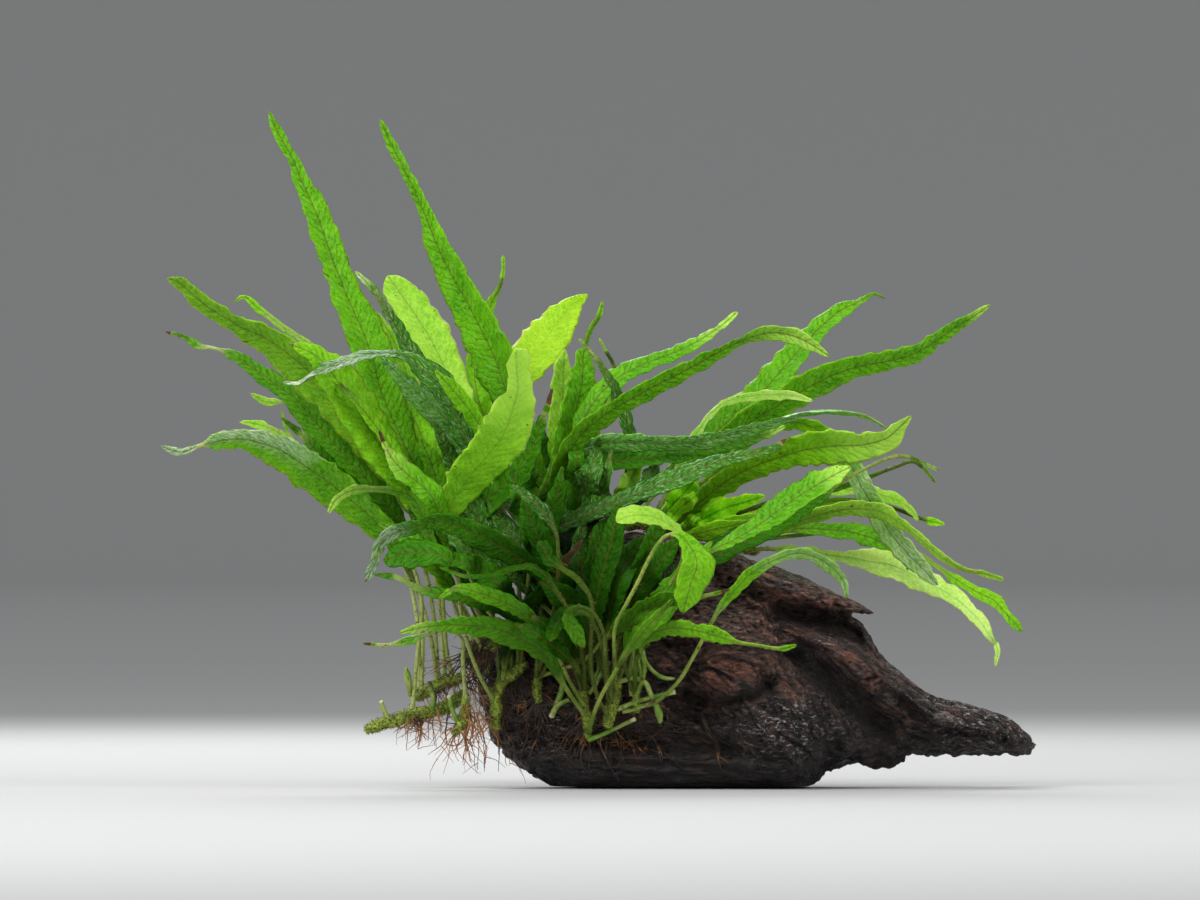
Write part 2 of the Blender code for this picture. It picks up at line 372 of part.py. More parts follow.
def wood_front(x, z):
    """The y of the wood's front face at x, z; None beside the wood."""
    if not WOOD_TOP[0][0] < x < WOOD_TOP[-1][0]:
        return None
    middle, half = wood_section(x)
    face = None
    if abs(z - middle) < half:
        depth = squared((z - middle) / half)
        face = -along(WOOD_FRONT, x) * depth - relief(x, z) * depth
    if SLAB_TOP[0][0] < x < SLAB_TOP[-1][0] and along(SLAB_BOTTOM, x) < z < along(SLAB_TOP, x):
        face = min(face or 0, -along(SLAB_FRONT, x))
    return face


def wood_crest(x, y):
    """The z of the wood's top at x, y."""
    middle, half = wood_section(x)
    reach = along(WOOD_FRONT if y < 0 else WOOD_BACK, x)
    crest = middle + half * squared(y / reach)
    slab_reach = SLAB_FRONT if y < 0 else SLAB_BACK
    if SLAB_TOP[0][0] < x < SLAB_TOP[-1][0] and abs(y) < along(slab_reach, x):
        crest = max(crest, along(SLAB_TOP, x))
    return crest


def driftwood(skin):
    rings = []
    ends = WOOD_TOP[0][0], WOOD_TOP[-1][0]
    for station in range(WOOD_STATIONS):
        x = ends[0] + (ends[1] - ends[0]) * station / (WOOD_STATIONS - 1)
        middle, half = wood_section(x)
        ring = []
        for side in range(WOOD_FRONT_SIDES + WOOD_BACK_SIDES):
            in_front = side < WOOD_FRONT_SIDES
            if in_front:
                turn = side / WOOD_FRONT_SIDES
            else:
                turn = 1 + (side - WOOD_FRONT_SIDES) / WOOD_BACK_SIDES
            out, up = -math.sin(math.pi * turn), math.cos(math.pi * turn)
            y = math.copysign(abs(out)**(2 / SECTION_POWER), out)
            z = middle + half * math.copysign(abs(up)**(2 / SECTION_POWER), up)
            if in_front:
                y = y * along(WOOD_FRONT, x) + relief(x, z) * out
            else:
                y = y * along(WOOD_BACK, x) + relief(x, z, WOOD_BACK_RELIEF) * out
            ring.append((x, y, z))
        rings.append(ring)
    body = loft("driftwood", rings, skin)

    rings = []
    ends = SLAB_TOP[0][0], SLAB_TOP[-1][0]
    for station in range(SLAB_STATIONS):
        x = ends[0] + (ends[1] - ends[0]) * station / (SLAB_STATIONS - 1)
        top, bottom = along(SLAB_TOP, x), along(SLAB_BOTTOM, x)
        front, back = -along(SLAB_FRONT, x), along(SLAB_BACK, x)
        ring = []
        for side in range(SLAB_SIDES):
            angle = 2 * math.pi * (side + 0.5) / SLAB_SIDES
            out, up = math.cos(angle), math.sin(angle)
            y = (front + back) / 2 + (back - front) / 2 * math.copysign(abs(out)**SLAB_SQUARING[0], out)
            z = (top + bottom) / 2 + (top - bottom) / 2 * math.copysign(abs(up)**SLAB_SQUARING[1], up)
            ring.append((x, y, z))
        rings.append(ring)
    slab = loft("upper_slab_shape", rings, skin)
    slab.hide_render = True
    slab.display_type = "WIRE"

    join = body.modifiers.new("upper slab", "BOOLEAN")
    join.operation = "UNION"
    join.object = slab

    bpy.ops.mesh.primitive_cube_add(size=1, location=Vector(UNDERSIDE_CENTRE) * MM)
    ground = bpy.context.object
    ground.name = "underside_cut"
    ground.scale = Vector(UNDERSIDE_SIZE) * MM
    ground.hide_render = True
    ground.display_type = "WIRE"
    cut = body.modifiers.new("flat underside", "BOOLEAN")
    cut.operation = "DIFFERENCE"
    cut.object = ground
    return body


# --- rhizomes ---

def rhizome_line(radius, lies_on, line):
    """The rhizome's middle line, in x, y, z."""
    length = sum(math.dist(a, b) for a, b in zip(line, line[1:]))
    rings = max(4, round(length / RHIZOME_SPAN))
    if lies_on == "free":
        return smooth_line(line, rings, plane=3)
    face = wood_front if lies_on == "front" else wood_crest
    points = []
    for u, v in smooth_line(line, rings):
        here = face(u, v)
        slope = math.hypot(face(u + 1, v) - here, face(u, v + 1) - here)
        off = (radius + GAP) * math.hypot(1, min(slope, STEEPEST)) + RHIZOME_OFF
        points.append((u, here - off, v) if lies_on == "front" else (u, v, here + off))
    return np.array(points)


def rhizome(name, radius, line, skin):
    curve = bpy.data.curves.new(name, "CURVE")
    curve.dimensions = "3D"
    spline = curve.splines.new("POLY")
    spline.points.add(len(line) - 1)
    for k, (point, knot) in enumerate(zip(spline.points, line)):
        point.co = (*(Vector(knot) * MM), 1)
        point.radius = RHIZOME_END if k in (0, len(line) - 1) else 1
    curve.bevel_depth = radius * MM
    curve.bevel_resolution = 1
    curve.use_fill_caps = True
    curve.materials.append(skin)
    made = bpy.data.objects.new("rhizome_" + name, curve)
    bpy.context.scene.collection.objects.link(made)
    return made


# --- fronds ---

def foot_on(carrier, x, y, z, base):
    """Where a petiole that comes from x, y, z stands off its rhizome: x and z, and y."""
    radius, axis, leaning = carrier
    nearest = int(np.argmin(np.linalg.norm(axis - base, axis=1)))
    run = axis[min(nearest + 4, len(axis) - 1)] - axis[max(nearest - 4, 0)]
    run /= np.linalg.norm(run)
    away = np.array([x, y, z]) - base
    away /= np.linalg.norm(away)
    tilt = abs(away @ run)
    out = away - run * (away @ run) + np.array(leaning)
    out -= run * (out @ run)
    foot = base + out / np.linalg.norm(out) * (radius + GAP + PETIOLE / 2 * tilt)
    return foot[[0, 2]], foot[1]


def frond_knots(row, rhizomes):
    """The sections of a frond, from its tip to its base, before it is settled among the others."""
    name, grows_on, turn, depth_middle, depth_tip, line = row
    wide = []
    for x, z, shows, *stated in line:
        if stated:
            full = stated[0]
        elif shows > PETIOLE:
            full = shows * abs(turn)
        else:
            full = max(shows, THINNEST)
        wide.append((x, z, shows, full))
    knots = smooth_line(wide, FROND_KNOTS)
    axis = rhizomes[grows_on][1]
    base = axis[np.argmin(np.hypot(axis[:, 0] - knots[-1, 0], axis[:, 2] - knots[-1, 1]))]
    steps = np.linalg.norm(np.diff(knots[:, :2], axis=0), axis=1)
    t = np.concatenate(([0], np.cumsum(steps))) / steps.sum()
    depth = depth_tip * (1 - t) * (1 - 2 * t) + depth_middle * 4 * t * (1 - t) + base[1] * t * (2 * t - 1)
    knots[-1, :2], depth[-1] = foot_on(rhizomes[grows_on], knots[-2, 0], depth[-2], knots[-2, 1], base)
    heading = np.gradient(knots[:, :2], axis=0)
    heading /= np.linalg.norm(heading, axis=1)[:, None]
    true_width = np.maximum(knots[:, 3], knots[:, 2])
    roll = np.arccos(np.clip(knots[:, 2] / true_width, -1, 1)) * math.copysign(1, turn)
    across = np.column_stack([-heading[:, 1] * np.cos(roll), np.sin(roll), heading[:, 0] * np.cos(roll)])
    return {"name": name, "grows_on": grows_on, "middle": np.column_stack([knots[:, 0], depth, knots[:, 1]]),
            "across": across, "width": true_width}


def samples_of(fronds):
    """Points spread over the blades: frond, knot, share towards the next knot, and place."""
    rows = []
    for number, frond in enumerate(fronds):
        middle, across, width = frond["middle"], frond["across"], frond["width"]
        for k in range(len(middle) - 1):
            parts = max(1, math.ceil(np.linalg.norm(middle[k + 1] - middle[k]) / SAMPLE_STEP))
            side_count = math.ceil(max(width[k], width[k + 1]) / 2 / SAMPLE_STEP - 0.3)
            for part in range(parts):
                t = part / parts
                centre = middle[k] * (1 - t) + middle[k + 1] * t
                reach = across[k] * width[k] * (1 - t) / 2 + across[k + 1] * width[k + 1] * t / 2
                for side in range(-side_count, side_count + 1):
                    place = centre + reach * (side / max(side_count, 1))
                    rows.append((number, k, t, *place))
    return np.array(rows)


def near_pairs(first, second, reach, same):
    """Pairs of samples that lie closer than reach in the front view, on different fronds."""
    pairs = []
    for start in range(0, len(first), 800):
        block = first[start:start + 800]
        across = block[:, None, 3] - second[None, :, 3]
        up = block[:, None, 5] - second[None, :, 5]
        close = across**2 + up**2 < reach**2
        if same:
            close &= block[:, None, 0] < second[None, :, 0]
        i, j = np.nonzero(close)
        pairs.append(np.column_stack([i + start, j, np.hypot(across[i, j], up[i, j])]))
    pairs = np.vstack(pairs)
    return pairs[:, 0].astype(int), pairs[:, 1].astype(int), pairs[:, 2]


def settle(fronds, rhizomes):
    """Move the fronds in depth only, until they pass in front of or behind each other and the wood.

    What is in front stays in front, and a base stays on its rhizome.
    """
    count = FROND_KNOTS
    samples = samples_of(fronds)
    owner = samples[:, 0].astype(int)
    knot = owner * count + samples[:, 1].astype(int)
    share = samples[:, 2]
    depth = np.concatenate([frond["middle"][:, 1] for frond in fronds])
    start = depth.copy()
    offset = samples[:, 4] - (depth[knot] * (1 - share) + depth[knot + 1] * share)
    from_base = count - 1 - samples[:, 1] - share

    i, j, apart = near_pairs(samples, samples, KEEP_APART, True)
    need = np.sqrt(KEEP_APART**2 - apart**2)
    key = owner[i] * len(fronds) + owner[j]
    near_base = (from_base[i] < NEAR_BASE) | (from_base[j] < NEAR_BASE)
    key += near_base * len(fronds)**2
    lead = np.bincount(key, samples[j, 4] - samples[i, 4], minlength=2 * len(fronds)**2)
    order = np.where(lead[key] >= 0, 1, -1)

    stems = []
    for number, (radius, axis, _) in enumerate(rhizomes.values()):
        for point in axis[::AXIS_FINENESS // 2]:
            stems.append((number, radius, 0, *point))
    stems = np.array(stems)
    p, q, apart_stem = near_pairs(samples, stems, STEM_REACH, False)
    own = np.array([list(rhizomes).index(frond["grows_on"]) for frond in fronds])
    off = stems[q, 1] + KEEP_APART / 2
    keep = (apart_stem < off) & ~((own[owner[p]] == stems[q, 0]) & (from_base[p] < OWN_STEM))
    p, q, apart_stem, off = p[keep], q[keep], apart_stem[keep], off[keep]
    need_stem = np.sqrt(off**2 - apart_stem**2)
    lead = np.bincount(owner[p] * len(rhizomes) + stems[q, 0].astype(int), samples[p, 4] - stems[q, 4],
                       minlength=len(fronds) * len(rhizomes))
    order_stem = np.where(lead[owner[p] * len(rhizomes) + stems[q, 0].astype(int)] >= 0, 1, -1)

    face = [wood_front(x, z) for x, z in samples[:, [3, 5]]]
    against = np.array([k for k, y in enumerate(face) if y is not None and samples[k, 4] < 0], int)
    limit = np.array([face[k] for k in against]) - WOOD_CLEARANCE

    fixed = np.zeros(len(depth), bool)
    fixed[count - 1::count] = True
    for done in range(SETTLING_ROUNDS):
        y = depth[knot] * (1 - share) + depth[knot + 1] * share + offset
        push = [np.zeros(len(depth)), np.zeros(len(depth))]

        def shove(which, amount):
            for at, weight in ((knot[which], 1 - share[which]), (knot[which] + 1, share[which])):
                np.maximum.at(push[0], at, amount * weight)
                np.minimum.at(push[1], at, amount * weight)

        short = need - order * (y[j] - y[i])
        bad = short > 0
        shove(j[bad], (order * short / 2)[bad])
        shove(i[bad], (-order * short / 2)[bad])
        short = need_stem - order_stem * (y[p] - stems[q, 4])
        bad = short > 0
        shove(p[bad], (order_stem * short)[bad])
        short = y[against] - limit
        bad = short > 0
        shove(against[bad], -short[bad])
        depth += SETTLING_STEP * (push[0] + push[1])
        depth[fixed] = start[fixed]
        if done < SMOOTHED_ROUNDS:
            moved = (depth - start).reshape(-1, count)
            moved[:, 1:-1] = (1 - 2 * EVENING) * moved[:, 1:-1] + EVENING * (moved[:, :-2] + moved[:, 2:])
            depth = start + moved.ravel()
    for number, frond in enumerate(fronds):
        frond["middle"][:, 1] = depth[number * count:(number + 1) * count]


def frond_solid(frond, skin):
    middle, across, width = frond["middle"], frond["across"], frond["width"]
    heading = np.gradient(middle, axis=0)
    rings = []
    for k, (point, side) in enumerate(zip(middle, across)):
        normal = np.cross(heading[k], side)
        normal /= np.linalg.norm(normal)
        blade = min(1, max(0, (width[k] - PETIOLE) / BLADE_GAIN))
        half = PETIOLE / 2 * (1 - blade) + BLADE_HALF * blade
        if k < 2:
            half = (TIP_HALF, BLADE_HALF)[k]
        rings.append([point + side * width[k] / 2, point + normal * half,
                      point - side * width[k] / 2, point - normal * half])
    return loft("frond_" + frond["name"], rings, skin)


def build():
    clear_scene()
    wood = material("driftwood", (0.09, 0.065, 0.05), 0.7)
    creeping = material("rhizome", (0.25, 0.33, 0.07), 0.75)
    leaf = material("frond", (0.2, 0.42, 0.05), 0.4)
    driftwood(wood)
    rhizomes = {}
    for name, radius, lies_on, line in RHIZOMES:
        axis = rhizome_line(radius, lies_on, line)
        rhizomes[name] = radius, smooth_line(axis, AXIS_FINENESS * len(axis), plane=3), LEANING[lies_on]
        rhizome(name, radius, axis, creeping)
    fronds = [frond_knots(row, rhizomes) for row in FRONDS]
    settle(fronds, rhizomes)
    for frond in fronds:
        frond_solid(frond, leaf)


build()
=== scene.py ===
"""A java fern grown over a piece of dark driftwood: the finished looks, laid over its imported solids.

Lengths in the tables are millimetres: x runs to the right, y away from the front, z up from the flat
underside of the wood. A leaf is drawn in the front view, as x and z, and takes its depth from its solid.
"""
import math

import bmesh
import bpy
import numpy as np
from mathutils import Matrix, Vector, kdtree, noise
from mathutils.bvhtree import BVHTree


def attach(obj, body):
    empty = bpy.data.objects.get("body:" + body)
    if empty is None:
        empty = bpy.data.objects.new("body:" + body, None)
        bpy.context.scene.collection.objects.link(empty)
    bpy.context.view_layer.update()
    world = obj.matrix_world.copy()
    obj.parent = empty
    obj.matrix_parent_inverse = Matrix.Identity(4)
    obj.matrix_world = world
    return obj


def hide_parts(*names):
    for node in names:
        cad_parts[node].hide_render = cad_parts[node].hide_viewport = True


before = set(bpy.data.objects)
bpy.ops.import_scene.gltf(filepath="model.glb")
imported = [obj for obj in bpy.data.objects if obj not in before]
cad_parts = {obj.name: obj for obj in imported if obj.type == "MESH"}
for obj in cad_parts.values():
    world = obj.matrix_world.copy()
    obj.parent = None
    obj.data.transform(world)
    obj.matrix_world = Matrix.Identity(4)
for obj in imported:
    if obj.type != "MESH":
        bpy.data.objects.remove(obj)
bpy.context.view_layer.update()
MM = 0.001


# --- studio ---
# The plant stands in the middle of a wide bowl of pale paper, open above, with soft light falling in from
# over it. A strong lamp stands in front of it at the left, a wide weak one straight in front of it, and
# smaller ones at its right and behind it.

CAMERA_PLACE = -0.035, -6, 0.1176     # metres, as all lengths of the studio are
FRAMED_WIDTH = 0.42                   # what the picture takes in across, at the wood's distance
SENSOR_WIDTH = 36                     # millimetres
BOWL_RADIUS, BOWL_HEIGHT, BOWL_CURVE = 11.0, 3.0, 2.0
BOWL_LEVEL = -0.0006                  # a hair under the wood, which would flicker if they shared a face
PAPER_GREY, PAPER_ROUGHNESS = 0.48, 0.9
AIR_COLOUR, AIR_STRENGTH = (0.97, 0.99, 1.0, 1), 0.46
# Each lamp's name, place, the point it is aimed at, the side of its square, and its power in watts.
LAMPS = [
    ("soft_light_left", (-0.75, -1.0, 1.35), (-0.03, 0, 0.1), 0.8, 26),
    ("soft_light_right", (1.1, -0.9, 0.7), (0, 0, 0.08), 0.5, 7.5),
    ("soft_light_front", (-0.1, -2.6, 0.5), (-0.03, 0, 0.1), 1.2, 5.5),
    ("light_behind", (-0.3, 1.0, 0.9), (-0.04, 0, 0.12), 0.6, 12),
]

bpy.ops.object.select_all(action="DESELECT")
bpy.ops.object.camera_add(location=CAMERA_PLACE, rotation=(math.radians(90), 0, 0))
camera = bpy.context.object
camera.name = "camera"
camera.data.sensor_width = SENSOR_WIDTH
camera.data.lens = SENSOR_WIDTH * -CAMERA_PLACE[1] / FRAMED_WIDTH
camera.data.clip_end = 30
bpy.context.scene.camera = camera
bpy.context.scene.view_settings.view_transform = "Standard"


def select_edges(obj, wanted):
    """In edit mode, selects the edges that pass a test, and nothing else."""
    bpy.ops.mesh.select_mode(type="EDGE")
    bpy.ops.mesh.select_all(action="DESELECT")
    drawn = bmesh.from_edit_mesh(obj.data)
    for edge in drawn.edges:
        if wanted(*edge.verts):
            edge.select_set(True)
    bmesh.update_edit_mesh(obj.data)


bpy.ops.object.select_all(action="DESELECT")
bpy.ops.mesh.primitive_circle_add(vertices=128, radius=BOWL_RADIUS, fill_type="NGON",
                                  location=(0, 0, BOWL_LEVEL))
paper = bpy.context.object
paper.name = "paper_bowl"
bpy.ops.object.mode_set(mode="EDIT")
select_edges(paper, lambda a, b: True)
bpy.ops.mesh.extrude_edges_move(TRANSFORM_OT_translate={"value": (0, 0, BOWL_HEIGHT)})
select_edges(paper, lambda a, b: abs(a.co.z) + abs(b.co.z) < 0.001)
bpy.ops.mesh.bevel(offset=BOWL_CURVE, segments=16)
bpy.ops.object.mode_set(mode="OBJECT")
bpy.ops.object.shade_smooth()
bpy.ops.object.transform_apply(location=True, rotation=True, scale=True)
matt_paper = bpy.data.materials.new("matt paper")
matt_paper.use_nodes = True
paper_shader = matt_paper.node_tree.nodes["Principled BSDF"]
paper_shader.inputs["Base Color"].default_value = (PAPER_GREY, PAPER_GREY, PAPER_GREY, 1)
paper_shader.inputs["Roughness"].default_value = PAPER_ROUGHNESS
paper.data.materials.append(matt_paper)

for name, place, aim, size, power in LAMPS:
    bpy.ops.object.select_all(action="DESELECT")
    bpy.ops.object.light_add(type="AREA", location=place)
    light = bpy.context.object
    light.name = name
    light.rotation_euler = (Vector(aim) - Vector(place)).to_track_quat("-Z", "Y").to_euler()
    light.data.size = size
    light.data.energy = power
air = bpy.data.worlds.new("studio air")
air.use_nodes = True
air.node_tree.nodes["Background"].inputs["Color"].default_value = AIR_COLOUR
air.node_tree.nodes["Background"].inputs["Strength"].default_value = AIR_STRENGTH
bpy.context.scene.world = air


# --- driftwood ---
# One weathered piece of dark bogwood, soaked black-brown and worn along its grain into furrows, pits and
# fibres. It lies loose on its flat worn underside; nothing is fixed to it but what has grown there.

WOOD_VOXEL = 0.83
WOOD_HEIGHT = 85
LUMP_SPAN, LUMP_HEIGHT = 13, 1.0          # broad unevenness
FURROWS = ((26, 4.6, 1.5), (15, 2.2, 0.9))   # run along the grain, span across it, depth
PIT_SPAN, PIT_DEPTH = 4.5, 1.1
TEETH = 3.0                               # depth of the torn lower edge
TEETH_FROM, TEETH_UNDER = 34, 16          # it lies right of this x and under this z
GRAIN_SLOPES = 34, 56, 0                  # degrees down to the right: upper part, flank, foot and left end
STEEP_PLACES = ((32, 17, 21, 16), (48, 30, 9, 14))      # x, z, half sizes
# Places of the front that stand out in colour, given likewise: red-brown, streaked with painted wet glints
# (painted highlights), darkened with painted shade, and lightened with painted light.
RED_PLACES = ((8, 41, 14, 9), (-11.5, 45, 5, 4), (38, 65, 20, 4), (24, 66, 18, 5), (52, 47, 14, 5))
PAINTED_GLINT_PLACES = ((33, 18, 19, 15), (98, 21, 18, 8), (-55, 18, 10, 14), (44, 54, 12, 7), (2, 57, 12, 4))
PAINTED_SHADE_PLACES = ((61, 54, 8, 8), (44, 39, 8, 8), (44, 20, 9, 10), (44, 5, 9, 6), (-61, 5, 10, 7))
PAINTED_LIGHT_PLACES = ((9, 74, 13, 8), (10, 57, 13, 8), (26, 57, 9, 8))

# Forms of the front, sharper than the solid has them: height, half width, and line in x and z.
FRONT_FORMS = [
    (3.4, 2.4, [(8, 71), (16.4, 67.7), (24.8, 61.6), (30, 58), (38.7, 53.8), (48.3, 49), (55.5, 45.4),
                (62.8, 40.5), (71.8, 33.3), (76.6, 27.3), (82.7, 23), (91, 22.2)]),       # main ridge
    (1.6, 1.1, [(66, 36), (72, 32), (79, 25.5), (85, 23), (93, 21), (101, 19.5)]),      # its pale crest
    (2.4, 2.2, [(46, 38), (54, 29), (60, 21), (66, 14)]),                               # edge of the hollow
    (2.0, 1.7, [(15, 31), (22, 21), (31, 11), (38, 3)]),                                # ribs of the flank
    (1.8, 1.5, [(22, 33), (30, 22), (39, 12), (44, 6)]),
    (1.6, 1.3, [(30, 30), (37, 21), (47, 12)]),
    (2.2, 2.6, [(2, 44), (10, 41.5), (18, 39)]),                                        # red-brown lump
    (1.4, 1.5, [(20, 69), (34, 64.5), (44, 62.3)]),                                     # lip of the slab
    (1.2, 1.2, [(50, 61), (54, 54), (61, 47)]),                                         # torn edge under it
    (1.3, 1.1, [(84, 30), (92, 27.5), (102, 24), (110, 20)]),                           # ribs of the tail
    (1.1, 1.0, [(90, 18), (100, 16), (110, 14.5)]),
    (-7.5, 3.2, [(27, 62), (34, 59.5), (42, 57.5), (50, 54), (57, 49.5)]),              # recess under slab
    (-3.0, 1.6, [(47, 63.5), (51, 57), (56, 51)]),
    (-5.5, 4.6, [(36, 46.5), (42, 41), (49, 34), (56, 27), (62, 20)]),                  # smooth hollow
    (-4.5, 1.8, [(-5, 33.5), (2, 30.5), (10, 30), (19, 32.5), (25, 37)]),               # gap under the lump
    (-2.6, 1.1, [(-14, 50), (0, 49.5), (12, 49.5), (24, 47.5), (34, 46)]),              # crack over it
    (-3.0, 1.3, [(21, 41), (24, 34), (27, 27)]),
    (-2.0, 1.1, [(4, 60), (16, 57), (30, 52.5), (42, 48)]),
    (-2.2, 1.0, [(10, 66), (22, 60.5), (34, 54)]),
    (-3.2, 1.4, [(70, 31), (76, 24.5), (84, 20.5), (94, 18.5), (106, 16.5)]),           # groove under crest
    (-2.6, 1.6, [(92, 24.6), (97, 23.6), (104, 21.5)]),                                 # pits of the tail
    (-2.0, 1.5, [(-60, 17), (-30, 14), (8, 13), (30, 8)]),                              # groove over foot
    (-1.5, 1.0, [(-52, 9), (-20, 8), (12, 6.5)]),
    (-4.0, 2.4, [(47, 14), (42, 9), (38, 6)]),                                          # notch of the foot
    (-3.0, 1.8, [(66, 17), (62, 11)]),
]


def vectors(items, key):
    """A vector of each of a mesh's items, one to a row."""
    flat = np.empty(len(items) * 3, np.float32)
    items.foreach_get(key, flat)
    return flat.reshape(-1, 3)


def points_of(mesh):
    """The mesh's vertices in millimetres."""
    return vectors(mesh.vertices, "co").astype(float) / MM


def normals_of(mesh):
    return vectors(mesh.vertices, "normal").astype(float)


def set_points(mesh, points):
    mesh.vertices.foreach_set("co", (np.asarray(points) * MM).astype(np.float32).ravel())
    mesh.update()


def select_only(obj):
    bpy.ops.object.select_all(action="DESELECT")
    obj.select_set(True)
    bpy.context.view_layer.objects.active = obj


def fine_copy(node, name, voxel):
    """A copy of a solid, of the same shape but of fine even faces, for a surface to be worked in."""
    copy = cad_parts[node].copy()
    copy.data = copy.data.copy()
    copy.name = copy.data.name = name
    for key in list(copy.keys()):
        del copy[key]
    copy.parent = None
    bpy.context.scene.collection.objects.link(copy)
    select_only(copy)
    bpy.ops.object.mode_set(mode="EDIT")
    bpy.ops.mesh.select_all(action="SELECT")
    bpy.ops.mesh.remove_doubles(threshold=0.00001)
    bpy.ops.object.mode_set(mode="OBJECT")
    copy.data.materials.clear()
    remesh = copy.modifiers.new("even faces", "REMESH")
    remesh.mode = "VOXEL"
    remesh.voxel_size = voxel * MM
    remesh.use_smooth_shade = True
    bpy.ops.object.modifier_apply(modifier=remesh.name)
    return copy


def relax(obj, rounds):
    smooth = obj.modifiers.new("soften", "SMOOTH")
    smooth.factor = 0.5
    smooth.iterations = rounds
    bpy.context.view_layer.objects.active = obj
    bpy.ops.object.modifier_apply(modifier=smooth.name)


def paint(mesh, name, values):
    """Stores one colour per vertex, for the materials to read."""
    attribute = mesh.color_attributes.new(name, "FLOAT_COLOR", "POINT")
    rgba = np.ones((len(mesh.vertices), 4), np.float32)
    rgba[:, :3] = np.stack(values, axis=1)
    attribute.data.foreach_set("color", rgba.ravel())


def spot(points, places):
    """How far inside any of some soft-edged patches of the front view a point is, 0 to 1."""
    inside = np.zeros(len(points))
    for x, z, half_x, half_z in places:
        away = ((points[:, 0] - x) / half_x)**2 + ((points[:, 2] - z) / half_z)**2
        inside = np.maximum(inside, np.exp(-away**1.5))
    return inside


def from_line(points, line):
    """How far each point is from a line, in the front view."""
    nearest = np.full(len(points), 1e9)
    for (x0, z0), (x1, z1) in zip(line, line[1:]):
        dx, dz = x1 - x0, z1 - z0
        t = np.clip(((points[:, 0] - x0) * dx + (points[:, 2] - z0) * dz) / (dx * dx + dz * dz), 0, 1)
        away = np.hypot(points[:, 0] - x0 - t * dx, points[:, 2] - z0 - t * dz)
        nearest = np.minimum(nearest, away)
    return nearest


wood = fine_copy("driftwood", "driftwood_weathered", WOOD_VOXEL)
relax(wood, 4)
points = points_of(wood.data)
front = np.clip(-1.6 * normals_of(wood.data)[:, 1] - 0.1, 0, 1)
hollow = np.zeros(len(points))
for height, half_width, line in FRONT_FORMS:
    form = np.exp(-(from_line(points, line) / half_width)**2) * front
    hollow += np.maximum(-height, 0) / 5 * form
    points[:, 1] -= height * form
set_points(wood.data, points)
normals = normals_of(wood.data)

# The grain slopes down to the right over most of the wood, steeper on the flank, and lies level at the foot.
steep = spot(points, STEEP_PLACES) * (normals[:, 1] < 0.3)
level = np.clip(np.maximum((16 - points[:, 2]) / 5, (-12 - points[:, 0]) / 8), 0, 1) * (1 - steep)
lie = np.column_stack([1 - steep - level, steep, level])
turned = [(math.cos(math.radians(slope)), math.sin(math.radians(slope))) for slope in GRAIN_SLOPES]
ridge = np.zeros(len(points))
moved = np.zeros(len(points))
for k, (x, y, z) in enumerate(points):
    lump = noise.noise(Vector((x / LUMP_SPAN, y / LUMP_SPAN, z / LUMP_SPAN)))
    wander = 2.5 * noise.noise(Vector((x / 22, y / 18, z / 18 + 7)))
    furrow = fibre = pit = 0
    for share, (cos, sin) in zip(lie[k], turned):
        if share < 0.02:
            continue
        run_on, over = x * cos - z * sin, x * sin + z * cos + wander
        for run, span, depth in FURROWS:
            valley = noise.noise(Vector((run_on / run, (y + wander) / span, over / span)))
            furrow += share * depth * (1 - min(1, abs(valley) * 3.2))**2
        fibre += share * noise.noise(Vector((run_on / 5, y / 1.3, over / 1.3)))
        hole = noise.voronoi(Vector((run_on / (PIT_SPAN * 1.8), y / PIT_SPAN, over / PIT_SPAN)))[0][0]
        pit += share * max(0, 0.22 - hole) / 0.22
    ridge[k] = fibre - furrow - pit
    moved[k] = LUMP_HEIGHT * lump - furrow + 0.6 * fibre - PIT_DEPTH * pit
    if z < TEETH_UNDER and x > TEETH_FROM and normals[k, 2] < -0.1:
        broad_tooth = noise.noise(Vector((x / 7, y / 8, 0)))
        fine_tooth = noise.noise(Vector((x / 2, y / 3, 5)))
        moved[k] += TEETH * (broad_tooth + 0.3 * fine_tooth)
# The relief is calmer in the smooth hollows and dies out towards the flat underside.
calm = 1 - 0.75 * np.clip(hollow, 0, 1)
off_ground = np.clip(points[:, 2] / 3, 0, 1)
points += normals * (moved * calm * off_ground)[:, None]
points[:, 2] = np.maximum(points[:, 2], 0)
set_points(wood.data, points)
raised = np.clip(0.5 + ridge / 3, 0, 1)
upward = np.clip(points[:, 2] / WOOD_HEIGHT, 0, 1)
paint(wood.data, "relief_and_glints", (raised, spot(points, RED_PLACES), spot(points, PAINTED_GLINT_PLACES)))
paint(wood.data, "lie", lie.T)
paint(wood.data, "form", (np.clip(hollow, 0, 1), upward, spot(points, PAINTED_SHADE_PLACES)))
paint(wood.data, "painted_light", [spot(points, PAINTED_LIGHT_PLACES)] * 3)


def new_material(name, colour, roughness):
    made = bpy.data.materials.new(name)
    made.use_nodes = True
    shader = made.node_tree.nodes["Principled BSDF"]
    shader.inputs["Base Color"].default_value = (*colour, 1)
    shader.inputs["Roughness"].default_value = roughness
    return made


